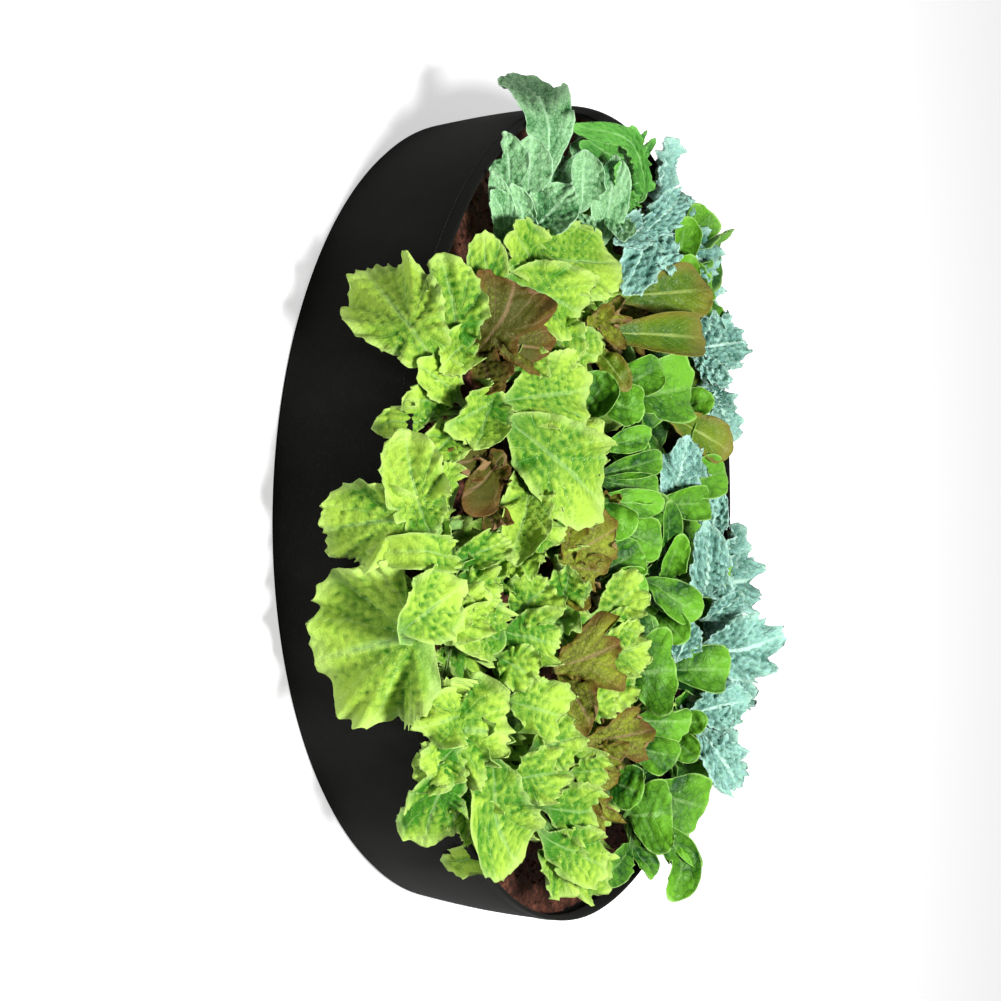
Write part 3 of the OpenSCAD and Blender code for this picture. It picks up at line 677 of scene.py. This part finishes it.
def flat_leaf(habit, draw, length, width, fine, stalk=STALK):
    """A leaf before it bends: how far each point of its grid lies across, along and above. stalk
    is the share of its length below the blade."""
    cols, rows = (int(n * fine) | 1 for n in habit["grid"])
    s, t = np.meshgrid(np.linspace(-1, 1, cols), np.linspace(0, 1, rows))
    s = s * (1.3 - 0.3 * s ** 2)
    across = s * smooth_steps(*habit["outline"], t) * width / 2
    along = length * (np.interp(t, (0, STALK, 1), (0, stalk, 1))
                      - (1 - stalk) * s ** 2 * (habit["arc"] * t ** 1.5
                                                + habit["ear"] * (1 - t) ** 2))
    heart = float(np.interp(habit["heart"], (0, STALK, 1), (0, stalk, 1))) * length
    turn = np.arctan2(across, along - heart)
    edge = np.minimum(1, (abs(s) ** 6 + np.clip((along - heart) / (length - heart), 0, 1) ** 6)
                      ** (1 / 6))
    blade = np.clip((t - 0.12) / 0.2, 0, 1)
    lobes, lobe_depth = habit["lobes"]
    teeth, tooth_depth = habit["teeth"]
    shift = draw.uniform(0, 6.28, 6)
    wander = turn + 0.25 * np.sin(2 * turn + shift[0])
    bite = 0.5 - 0.5 * np.cos(lobes * wander + shift[1])
    tooth = abs((teeth * wander / 6.283 + shift[2]) % 1 - 0.5) * 2
    reach = 1 + blade * (tooth_depth * (tooth ** 1.6 - 0.4) * edge ** 10
                         * (1 + 0.6 * np.sin(3.7 * turn + shift[3]))
                         - lobe_depth * (0.6 + 0.15 * shift[4]) * bite * edge ** 3)
    across = across * reach
    along = heart + (along - heart) * reach
    frill, waves = habit["frill"]
    ripple = (np.sin(waves * wander + shift[4]) + 0.55 * np.sin(2.3 * waves * turn + shift[5])
              + 0.25 * np.sin(4.9 * waves * wander + shift[2]))
    fold = np.sin(0.62 * waves * wander + shift[5]) + 0.6 * np.sin(1.1 * waves * turn + shift[3])
    up = frill * width * blade * (edge ** 2.4 * ripple + 0.7 * edge ** 1.2 * fold)
    if habit["fan"]:
        vein = turn * habit["veins"] / math.pi
    else:
        vein = (t - habit["slope"] * abs(s)) * habit["veins"] + 0.5 * (s > 0)
    pillow = abs(np.sin(math.pi * vein)) ** 0.6 - 0.6
    grain = lumps(across, along, habit["puff_size"], int(draw.integers(1e6)))
    puff = blade * (0.8 * pillow + 0.7 * grain) * (1 - 0.6 * edge ** 4)
    # form is the height of the frill, folds and blisters, which the material paints as light on
    # raised parts and as shade in folds and creases; ridge sets the blisters' share.
    form = 0.5 + 0.14 * blade * (edge ** 2 * ripple + edge * fold) + habit["ridge"] * puff
    up = up + habit["puff"] * puff
    up = up - 0.0016 * np.exp(-(across / (0.03 * width + 0.001)) ** 2) * (1 - t)
    curl = habit["cup"] * draw.uniform(0.6, 1.3) * 2 / width
    up = up + (1 - np.cos(curl * across)) / curl
    across = np.sin(curl * across) / curl
    return s, t, across, along, up, edge, turn, form


def spine_through(points):
    """An even line of points on a smooth curve through a few given ones, and the share of it before
    the second one, where the blade starts."""
    points = np.array(points, float)
    knots = np.r_[0, np.cumsum(np.linalg.norm(np.diff(points, axis=0), axis=1))]
    at = np.linspace(0, knots[-1], SPINE_STEPS)
    line = np.stack([smooth_steps(knots, points[:, k], at) for k in range(3)], 1)
    return line, knots[1] / knots[-1]


def spine_arc(start, turn, length, rise, droop):
    """An even line of points that leaves the stem at an angle and bends down steadily."""
    tilt = np.radians(rise - droop * np.linspace(0, 1, SPINE_STEPS))
    out = np.r_[0, np.cumsum(np.cos(tilt))[:-1]] * length / SPINE_STEPS
    up = np.r_[0, np.cumsum(np.sin(tilt))[:-1]] * length / SPINE_STEPS
    return np.stack([start[0] + out * math.cos(turn), start[1] + out * math.sin(turn),
                     start[2] + up], 1)


def rest_on_bed(points, spine):
    """Lays a leaf on what it meets: the soil, the felt's inner or outer face, and the rim. A leaf
    that reaches far out at the back or the right is drawn in."""
    x, y, z = np.moveaxis(points, -1, 0).copy()
    r = np.hypot(x, y)
    spine_r = np.hypot(spine[..., 0], spine[..., 1])
    hangs = spine_r > rim_radius - 0.004
    lies = 1 - hangs * np.clip((WALL_HEIGHT + 0.008 - spine[..., 2]) / 0.03, 0, 1)
    rim_line = WALL_HEIGHT + RIM_REST - RIM_FALL * np.maximum(0, r - rim_radius - RIM_SHOULDER)
    z += lies * np.where(r > rim_radius - HEM_DEPTH, np.maximum(0, rim_line - z), 0)
    wall_r = FOOT_RADIUS + WALL_LEAN * np.clip(z / WALL_HEIGHT, 0, 1) + WALL_BULGE
    low = z < WALL_HEIGHT + RIM_REST * 0.9
    r_new = np.where(low & hangs, np.maximum(r, wall_r + RIM_REST), r)
    r_new = np.where(low & ~hangs & (r < rim_radius), np.minimum(r, wall_r - HEM_DEPTH), r_new)
    drawn_in = REACH + 0.35 * np.maximum(0, r_new - REACH)
    r_new = np.where(x + y > 0.2, np.minimum(r_new, drawn_in), r_new)
    z = np.where(r < rim_radius, np.maximum(z, soil_height(0) - 0.004), z)
    scale = r_new / np.maximum(r, 1e-9)
    return np.stack([x * scale, y * scale, z], -1)


def leaf_solid(habit, draw, spine, width, roll=0.0, twist=0.0, fine=1.0, stalk=STALK, face=None):
    """A closed leaf bent along a spine. Its upper side turns towards face, or else up and back to
    its plant. Returns its points, faces and the marks its material reads: place across and along,
    the leaf's own tone and its folds' height, which the material paints as light and shade,
    nearness to the edge, turn and underside."""
    steps = np.linalg.norm(np.diff(spine, axis=0), axis=1)
    travel = np.r_[0, np.cumsum(steps)]
    length = travel[-1]
    s, t, across, along, up, edge, turn, form = flat_leaf(habit, draw, length, width, fine, stalk)
    share = along / length * travel[-1]
    middle = np.stack([np.interp(share, travel, spine[:, k]) for k in range(3)], -1)
    ways = np.gradient(spine, travel, axis=0)
    ways /= np.linalg.norm(ways, axis=1)[:, None]
    ahead = np.stack([np.interp(share, travel, ways[:, k]) for k in range(3)], -1)
    ahead /= np.linalg.norm(ahead, axis=-1)[..., None]
    middle += ahead * np.maximum(0, share - length)[..., None]
    if face is not None:
        base = np.array([np.interp(stalk * length, travel, column) for column in spine.T])
        onward = np.array([np.interp((stalk + 0.2) * length, travel, column) for column in ways.T])
        back = np.minimum(0, share - stalk * length)[..., None]
        ear = np.clip(abs(across) / (0.16 * width) - 0.3, 0, 1)[..., None] * (back < 0)
        middle = middle * (1 - ear) + (base + back * onward) * ear
        ahead = ahead * (1 - ear) + onward * ear
    chord = spine[-1] - spine[0]
    chord[2] = 0
    chord = chord / max(np.linalg.norm(chord), 1e-6)
    if face is None:
        lift = -ahead[..., 2:] * chord + (ahead @ chord)[..., None] * np.array([0, 0, 1.0])
    else:
        lift = np.array(face, float)
    lift = lift - (lift * ahead).sum(-1)[..., None] * ahead
    lift /= np.linalg.norm(lift, axis=-1)[..., None]
    side = np.cross(ahead, lift)
    lean = (roll + twist * (t - 0.5))[..., None]
    side, lift = (side * np.cos(lean) + lift * np.sin(lean),
                  lift * np.cos(lean) - side * np.sin(lean))
    skin = rest_on_bed(middle + side * across[..., None] + lift * up[..., None], middle)
    out = np.cross(np.gradient(skin, axis=1), np.gradient(skin, axis=0))
    out /= np.maximum(np.linalg.norm(out, axis=-1), 1e-12)[..., None]
    half = habit["thickness"] / 2
    rib = habit["rib"] * np.exp(-(across / (0.035 * width + 0.0015)) ** 2) * (1 - 0.85 * t)
    top = skin + out * half
    under = skin - out * (half + rib)[..., None]
    rows, cols = s.shape
    grid = np.arange(rows * cols).reshape(rows, cols)
    a, b, c, d = grid[:-1, :-1], grid[:-1, 1:], grid[1:, 1:], grid[1:, :-1]
    upper = np.stack([a, b, c, d], -1).reshape(-1, 4)
    lower = np.stack([d, c, b, a], -1).reshape(-1, 4) + grid.size
    border = np.r_[grid[0, :-1], grid[:-1, -1], grid[-1, :0:-1], grid[:0:-1, 0]]
    beyond = np.roll(border, -1)
    rim = np.stack([beyond, border, border + grid.size, beyond + grid.size], -1)
    # The rosette leaves, under the leading ones, take a darker tone than these: partly the deeper
    # green of older outer leaves, partly painted shade for where they lie.
    own = habit.get("own", draw.uniform() * 0.8 + (0.2 if face is not None else -0.35))
    marks = np.stack([(s / 2 + 0.5), t, np.full_like(s, own), form, edge, turn / 6.2832 + 0.5,
                      np.zeros_like(s), np.ones_like(s)], -1).reshape(-1, 8)
    below = marks.copy()
    below[:, 6] = 1
    return (np.r_[top.reshape(-1, 3), under.reshape(-1, 3)], np.r_[upper, lower, rim].tolist(),
            np.r_[marks, below])


def stem_solid(crown, height):
    """The short butt that carries a plant's leaves, from below the soil to its last joint."""
    n = BUTT_SIDES
    ring = np.linspace(0, 2 * math.pi, n, endpoint=False)
    levels = [(0.55, -BUTT_FOOT), (1.0, -0.002), (1.0, height * 0.6), (0.7, height), (0.05, height)]
    points = [(crown[0] + share * STEM_RADIUS * math.cos(a),
               crown[1] + share * STEM_RADIUS * math.sin(a), crown[2] + z)
              for share, z in levels for a in ring]
    points += [(*crown[:2], crown[2] - BUTT_FOOT), (*crown[:2], crown[2] + height)]
    faces = [(i * n + k, i * n + (k + 1) % n, (i + 1) * n + (k + 1) % n, (i + 1) * n + k)
             for i in range(len(levels) - 1) for k in range(n)]
    low, high = len(points) - 2, len(points) - 1
    last = low - n
    faces += [(low, (k + 1) % n, k) for k in range(n)]
    faces += [(high, last + k, last + (k + 1) % n) for k in range(n)]
    marks = np.tile([0.5, 0.0, 0.5, 0.5, 0.0, 0.5, 0.0, 1.0], (len(points), 1))
    return np.array(points), faces, marks


def crown_of(name):
    """Where a plant's stem leaves the soil and how high the plant is, read from its CAD solid."""
    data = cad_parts[name].data
    points = np.empty(len(data.vertices) * 3)
    data.vertices.foreach_get("co", points)
    points = np.unique(points.reshape(-1, 3).round(5), axis=0)
    levels, counts = np.unique(points[:, 2], return_counts=True)
    foot = points[points[:, 2] == levels[counts >= STEM_SIDES][0]]
    return np.array([*foot[:, :2].mean(0), foot[0, 2] + ROOT_DEPTH]), levels[-1]


def hides_leader(spine, width):
    """Whether a leaf would stand before a leading leaf, seen from the front and a little above."""
    own = spine[HIDING_STEPS] @ FRONT.T
    gaps = own[:, None] - leader_marks[None, :, :3]
    near = np.hypot(gaps[..., 0], gaps[..., 1]) < 0.30 * width + leader_marks[None, :, 3]
    return bool((near & (gaps[..., 2] > -HIDING_GAP)).any())


def leader(row):
    """A row of LEADERS as its width in millimetres, its line in metres and its extras."""
    width, *line = row
    more = line.pop() if isinstance(line[-1], dict) else {}
    return width, np.reshape(line, (-1, 3)) / 1000, more


# Four places along each leading leaf, as seen from the front, and a quarter of its width.
leader_marks = []
for rows in LEADERS.values():
    for row in rows:
        width, line, _ = leader(row)
        knots = np.linspace(0, 1, len(line))
        leader_marks += [[*(FRONT @ [np.interp(at, knots, line[:, k]) for k in range(3)]),
                          width * 0.00025] for at in MARKED_SHARES]
leader_marks = np.array(leader_marks)


def grow_plant(name, habit, material, slot, first=0.0):
    """One plant: its leading leaves, and a rosette of the others round the stem, the outer ones
    longest and lowest. The others stay under the top of the plant's solid, clear the rim, and are
    pressed down or left out where they would hide a leading leaf."""
    crown, top = crown_of(name)
    seed = sum((k + 1) * ord(letter) for k, letter in enumerate(name))
    draw = np.random.default_rng(seed)
    count = habit["count"]
    solids = []
    taken = []
    for row in LEADERS.get(name, ()):
        width, line, more = leader(row)
        more = {**KINDS.get(more.get("kind"), {}), **more}
        if len(line) == 2:
            bow = 0.07 * np.linalg.norm(line[1] - line[0])
            line = np.array([line[0], line.mean(0) + bow * np.array(LEADER_FACE), line[1]])
        toward = line[0, :2] - crown[:2]
        toward = toward / max(np.linalg.norm(toward), 1e-6) * STEM_RADIUS * STEM_SEAT
        start = (*(crown[:2] + toward), crown[2] + habit["joint"] * count * 0.5)
        spine, stalk = spine_through((start, *line))
        away = line.mean(0)[:2] - crown[:2]
        taken.append(math.atan2(away[1], away[0]))
        roll = math.radians(more.pop("roll", draw.normal(0, 9)))
        twist = math.radians(more.pop("twist", draw.normal(0, 14)))
        fine = more.pop("fine", 1.1)
        solids.append(leaf_solid(dict(habit, **more), draw, spine, width / 1000, roll, twist, fine,
                                 stalk, LEADER_FACE))
    for n in range(count):
        share = n / (count - 1)
        turn = first + n * GOLDEN_ANGLE + draw.normal(0, 0.12)
        length = habit["length"] * (1 + (habit["inner"] - 1) * share) * draw.uniform(0.88, 1.12)
        rise = habit["rise"][0] + (habit["rise"][1] - habit["rise"][0]) * share ** 0.8
        droop = habit["droop"][0] + (habit["droop"][1] - habit["droop"][0]) * share
        rise, droop = rise + draw.normal(0, 4), droop + draw.normal(0, 5)
        roll, twist = draw.normal(0, 0.16), draw.normal(0, 0.35)
        if share < 0.6 and any(math.cos(turn - a) > SAME_WAY for a in taken):
            continue
        way = np.array([math.cos(turn), math.sin(turn)])
        start = crown + np.array([*(way * STEM_RADIUS * STEM_SEAT), habit["joint"] * (0.4 + n)])
        near = min(1, max(0, (np.hypot(*(crown[:2] + length * 0.8 * way)) - NEAR_RIM) / 0.1))
        spine = spine_arc(start, turn, length, rise + 22 * near, droop - 12 * near)
        width = habit["width"] * length * draw.uniform(0.88, 1.12)
        low = crown[2] + LOWEST_LEAF
        press = min(1, (top - low) * habit["press"] / max(0.001, spine[:, 2].max() - low))
        for _ in range(4):
            pressed = spine.copy()
            pressed[:, 2] = low + (spine[:, 2] - low) * press
            if not hides_leader(pressed, width):
                solids.append(leaf_solid(habit, draw, pressed, width, roll, twist))
                break
            press *= 0.6
    solids.append(stem_solid(crown, habit["joint"] * count * 0.8))
    points, marks = (np.concatenate([solid[k] for solid in solids]) for k in (0, 2))
    faces, below = [], 0
    for part_points, part_faces, _ in solids:
        faces += [tuple(i + below for i in face) for face in part_faces]
        below += len(part_points)
    piece = new_piece(name + "_leaves", points.tolist(), faces, material, slot, name)
    corners = np.empty(len(piece.data.loops), dtype=np.int32)
    piece.data.loops.foreach_get("vertex_index", corners)
    for layer, first_mark in (("leaf_place", 0), ("leaf_tone_and_relief_shade", 2)):
        piece.data.uv_layers.new(name=layer).data.foreach_set(
            "uv", marks[corners, first_mark:first_mark + 2].astype(np.float32).ravel())
    piece.data.color_attributes.new("leaf_marks", "FLOAT_COLOR", "POINT").data.foreach_set(
        "color", marks[:, 4:].astype(np.float32).ravel())


# tip_share darkens a leaf towards its stalk, as painted shade of its plant's hollow; below 0, as for
# the red lettuce, it darkens the tips instead, which is their own bronze.
def leaf_material(name, deep, bright, vein_colour, edge_colour, habit, vein_share=0.2,
                  rib_share=0.5, form_share=1.6, tip_share=0.4, edge_start=0.75, edge_share=0.5,
                  net=0.0, pebble=0.3, pebble_size=0.0065, roughness=0.40, stalk=0.16,
                  relief=0.0016, under=0.35):
    """A living leaf: veins and a midrib drawn on its own grid, pebbled between them, with an edge of
    another colour and a paler underside. Painted light and shade lie over its own tone: blister
    tops and raised folds lighter, grooves and creases darker, and most leaves darker towards the
    stalk. deep and bright are its darkest and lightest."""
    made, tree = new_material(name)
    place = node(tree, "ShaderNodeTexCoord", out="Object")
    grid = node(tree, "ShaderNodeUVMap", {"uv_map": "leaf_place"})
    split = node(tree, "ShaderNodeSeparateXYZ", None, {"Vector": grid}).socket.node
    side, along = Value(split.outputs["X"]), Value(split.outputs["Y"])
    off = abs(side * 2 - 1)
    marks = node(tree, "ShaderNodeAttribute", {"attribute_name": "leaf_marks"}).socket.node
    parts = node(tree, "ShaderNodeSeparateColor", None,
                 {"Color": Value(marks.outputs["Color"])}).socket.node
    edge, turn, below = (Value(parts.outputs[k]) for k in range(3))
    shade = node(tree, "ShaderNodeSeparateXYZ", None, {"Vector": node(
        tree, "ShaderNodeUVMap", {"uv_map": "leaf_tone_and_relief_shade"})}).socket.node
    own, form = Value(shade.outputs["X"]), Value(shade.outputs["Y"])
    sway = noise(tree, place, 30, 2)
    if habit["fan"]:
        course = (turn * 2 - 1) * habit["veins"] + (sway - 0.5) * 0.5
    else:
        course = (along - off * habit["slope"]) * habit["veins"] + (sway - 0.5) * 0.4
        course = course + side.between(0.49, 0.51) * 0.5
    ridge = abs(course % 1.0 - 0.5) * 2
    veins = ridge.between(0.84, 0.99) * (1 - edge.between(0.8, 1.0) * 0.7)
    warped = node(tree, "ShaderNodeVectorMath", {"operation": "ADD"}, {0: place, 1: node(
        tree, "ShaderNodeVectorMath", {"operation": "SCALE"},
        {0: noise(tree, place, 50, 0, out="Color"), "Scale": 0.004})})
    cells = node(tree, "ShaderNodeTexVoronoi", {"feature": "DISTANCE_TO_EDGE"},
                 {"Vector": warped, "Scale": 1 / pebble_size})
    # pebbles are the blisters: they raise the bump, and through pebble they paint blister tops
    # lighter as painted highlight and their grooves darker as painted shade.
    pebbles = 1 - (1 - cells.between(0.0, 0.24)) ** 2
    net_lines = 1 - cells.between(0.0, 0.10)
    rib = (1 - off.between(0.02, 0.09)) * (1 - along.between(0.55, 1.0) * 0.8)
    rib = rib.most(1 - along.between(stalk * 0.5, stalk * 1.4))
    patches = noise(tree, place, 17, 4, 0.55)
    # tone_and_painted_light: the leaf's own tone (paler edge, mottle, own) with painted light and
    # shade: lighter on blister tops and raised folds, darker in grooves, creases and towards the
    # stalk.
    tone_and_painted_light = (edge ** 2 * 0.3 + patches.between(0.3, 0.7) * 0.4 + (own - 0.5) * 0.5
            + (pebbles - 0.6) * pebble + (along - 0.6) * tip_share + (form - 0.5) * form_share + 0.15)
    colour = mix(tree, deep, bright, tone_and_painted_light)
    colour = mix(tree, colour, edge_colour, edge.between(edge_start, 1.0) * edge_share)
    colour = mix(tree, colour, vein_colour, net_lines * net + veins * vein_share)
    colour = mix(tree, colour, vein_colour, rib * rib_share)
    colour = mix(tree, colour, vein_colour, below * under)
    finish_material(tree, {
        "Base Color": colour, "Roughness": patches * 0.16 + (roughness + 0.06) + below * 0.15,
        "Specular IOR Level": 0.2, "Subsurface Weight": 0.15, "Subsurface Scale": 0.003,
        "Subsurface Radius": (0.7, 1.0, 0.25),
        "Normal": bump(tree, (1 - veins) * 0.5 + pebbles * 0.4, 0.7, relief)})
    return made


def grow_kind(name, count, habit, step=0.0, **look):
    """All the plants of one kind, with their material. Each is turned by a step from the last."""
    material = leaf_material(name, habit=habit, **look)
    for k in range(count):
        grow_plant(f"{name}_{k + 1}", habit, material, name, first=k * step)


grow_kind(
    "leaf_lettuce", 15, LETTUCE, step=1.3, deep=(0.030, 0.16, 0.003), bright=(0.30, 0.47, 0.048),
    vein_colour=(0.50, 0.72, 0.26), edge_colour=(0.43, 0.59, 0.18), form_share=2.0, tip_share=0.8,
    edge_start=0.7, edge_share=0.5, vein_share=0.14, rib_share=0.25, roughness=0.54, pebble=0.12,
    pebble_size=0.007)

# Red oak-leaf lettuce: thin bronze leaves with deep round lobes, green towards the stalk, with a
# pinkish midrib. They stand among the green ones.
RED = dict(
    LETTUCE, outline=((0, 0.1, 0.3, 0.5, 0.7, 0.88, 1), (0.08, 0.11, 0.45, 0.82, 1.0, 0.86, 0.5)),
    ridge=0.14, lobes=(6, 0.50), teeth=(22, 0.06), frill=(0.075, 6), cup=0.6, puff=0.0024,
    grid=(27, 31), count=9, length=0.155, inner=0.6, width=0.80, rise=(34, 80), droop=(44, 8))
grow_kind(
    "red_lettuce", 6, RED, step=0.9, deep=(0.055, 0.058, 0.003), bright=(0.24, 0.30, 0.020),
    vein_colour=(0.42, 0.26, 0.15), edge_colour=(0.115, 0.045, 0.008), edge_start=0.45,
    edge_share=0.75, roughness=0.5, tip_share=-0.2, vein_share=0.15, rib_share=0.30)

# Butterhead: smooth deep green leaves, cupped like spoons, with a pale midrib and a thin pale edge.
# Each stands on a short stem in the soil, in the rows behind the leaf lettuces.
BUTTERHEAD = dict(
    LETTUCE, outline=((0, 0.1, 0.3, 0.5, 0.7, 0.88, 1), (0.12, 0.16, 0.52, 0.87, 1.0, 0.84, 0.46)),
    arc=0.06, ridge=0.08, lobes=(4, 0.05), teeth=(8, 0.012), frill=(0.045, 4), cup=1.15, puff=0.0026,
    puff_size=0.022, veins=6, slope=0.35, fan=False, grid=(21, 25), thickness=0.0010, rib=0.0030,
    count=14, length=0.180, inner=0.55, width=0.78, rise=(20, 78), droop=(34, 6), joint=0.005,
    press=0.75)
grow_kind(
    "butterhead", 9, BUTTERHEAD, step=1.1, deep=(0.004, 0.055, 0.002), bright=(0.12, 0.34, 0.018),
    vein_colour=(0.40, 0.66, 0.22), edge_colour=(0.42, 0.68, 0.20), edge_start=0.90, edge_share=0.4,
    form_share=1.9, vein_share=0.06, rib_share=0.22, tip_share=0.8, roughness=0.36, pebble=0.2,
    pebble_size=0.012)

# Romaine: tall stiff leaves, folded along a broad pale midrib, olive green with bronze tops. Two
# plants stand on short stems among the butterheads at the left.
ROMAINE = dict(
    BUTTERHEAD, outline=((0, 0.1, 0.3, 0.55, 0.75, 0.9, 1), (0.2, 0.24, 0.5, 0.88, 1.0, 0.82, 0.46)),
    cup=0.8, veins=9, count=9, length=0.165, inner=0.6, width=0.46, rise=(20, 70), droop=(26, 4),
    press=0.5)
grow_kind(
    "romaine", 2, ROMAINE, step=2.0, deep=(0.028, 0.095, 0.002), bright=(0.14, 0.21, 0.008),
    vein_colour=(0.40, 0.50, 0.13), edge_colour=(0.20, 0.13, 0.028), edge_start=0.5, edge_share=0.6,
    roughness=0.34, pebble=0.16, pebble_size=0.009)

# Kale: long blue-green waxy leaves on bare stalks, crinkled all over, with curled edges and a net
# of pale veins. They stand along the back.
KALE = dict(
    LETTUCE, outline=((0, 0.12, 0.25, 0.42, 0.6, 0.8, 0.93, 1),
                      (0.07, 0.07, 0.45, 0.88, 1.0, 0.80, 0.5, 0.24)),
    arc=0.05, lobes=(9, 0.06), teeth=(32, 0.08), frill=(0.085, 9), cup=0.4, puff=0.0060,
    ridge=0.20, puff_size=0.012, veins=9, slope=0.42, fan=False, grid=(27, 41), thickness=0.0012,
    rib=0.0030, length=0.215, width=0.50, droop=(40, 16), press=0.6)
grow_kind(
    "kale", 4, KALE, step=1.7, deep=(0.012, 0.10, 0.066), bright=(0.25, 0.49, 0.41),
    vein_colour=(0.56, 0.82, 0.68), edge_colour=(0.50, 0.76, 0.63), form_share=2.6, rib_share=0.75,
    net=0.2, pebble=0.4, pebble_size=0.008, relief=0.0028, roughness=0.5, stalk=0.2)

# Sage: downy grey-green ovals on long stalks, finely pebbled, all from one stem at the bed's left.
# One leaf lies over the rim.
SAGE = dict(
    BUTTERHEAD, outline=((0, 0.12, 0.22, 0.38, 0.62, 0.84, 0.95, 1),
                         (0.07, 0.07, 0.35, 0.80, 1.0, 0.78, 0.45, 0.18)),
    arc=0.04, lobes=(5, 0.05), cup=0.35, veins=8, slope=0.4, puff=0.0030, ridge=0.12, puff_size=0.011,
    frill=(0.045, 7), grid=(23, 33), count=16, length=0.165, inner=0.5, width=0.52,
    rise=(20, 66), droop=(40, 14), press=0.75)
grow_kind(
    "sage", 1, SAGE, deep=(0.034, 0.17, 0.044), bright=(0.27, 0.50, 0.25),
    vein_colour=(0.52, 0.80, 0.50), edge_colour=(0.54, 0.80, 0.52), edge_start=0.90,
    form_share=2.4, roughness=0.62, stalk=0.2, pebble=0.4, pebble_size=0.007)

# Rocket: green leaves with deep uneven lobes along a thin stalk. It stands at the left, behind the
# sage.
ROCKET = dict(
    SAGE, outline=((0, 0.15, 0.3, 0.5, 0.7, 0.9, 1), (0.07, 0.1, 0.6, 0.8, 1.0, 0.8, 0.35)),
    lobes=(11, 0.36), teeth=(18, 0.05), frill=(0.04, 5), cup=0.4, grid=(27, 45),
    count=12, length=0.165, inner=0.55, width=0.42, rise=(22, 70), droop=(46, 16))
grow_kind(
    "rocket", 1, ROCKET, deep=(0.022, 0.14, 0.014), bright=(0.11, 0.36, 0.050),
    vein_colour=(0.32, 0.60, 0.22), edge_colour=(0.20, 0.52, 0.11), pebble=0.12)

# Floor and light: a plain white floor, white all round for the camera, a strong lamp high in front
# of the bed and a broad weak one low on its right.
FLOOR_WHITE = (0.80, 0.80, 0.80)
FLOOR_SIZE = 12.0
floor_mesh = bpy.data.meshes.new("floor")
floor_mesh.from_pydata([(x * FLOOR_SIZE, y * FLOOR_SIZE, 0) for x, y in (
    (-1, -1), (1, -1), (1, 1), (-1, 1))], [], [(0, 1, 2, 3)])
floor = new_object("floor", floor_mesh)
floor_look, tree = new_material("floor_white")
seen = node(tree, "ShaderNodeLightPath", out="Is Camera Ray")
finish_material(tree, {"Base Color": FLOOR_WHITE, "Roughness": 0.9, "Specular IOR Level": 0.1,
                       "Emission Color": (1.0, 1.0, 1.0), "Emission Strength": seen * 0.55})
floor_mesh.materials.append(floor_look)

world = bpy.data.worlds.new("studio")
world.use_nodes = True
bpy.context.scene.world = world
tree = world.node_tree
tree.nodes.clear()
path = node(tree, "ShaderNodeLightPath").socket.node
shown = Value(path.outputs["Is Camera Ray"]).most(Value(path.outputs["Is Glossy Ray"]))
glow = node(tree, "ShaderNodeBackground", None,
            {"Color": (1.0, 1.0, 1.0), "Strength": shown * 0.81 + 0.19})
node(tree, "ShaderNodeOutputWorld", None, {"Surface": glow}, out=None)


def lamp(name, place, aim, size, power):
    data = bpy.data.lights.new(name, "AREA")
    data.shape = "DISK"
    data.size = size
    data.energy = power
    made = new_object(name, data)
    made.location = place
    made.rotation_euler = (Vector(aim) - Vector(place)).to_track_quat("-Z", "Y").to_euler()


lamp("key", (0.45, -1.35, 3.05), (0, 0, 0.15), 1.0, 178)
lamp("fill", (2.6, -1.7, 1.3), (0, 0, 0.2), 2.6, 14)

bpy.context.scene.view_settings.view_transform = "Standard"
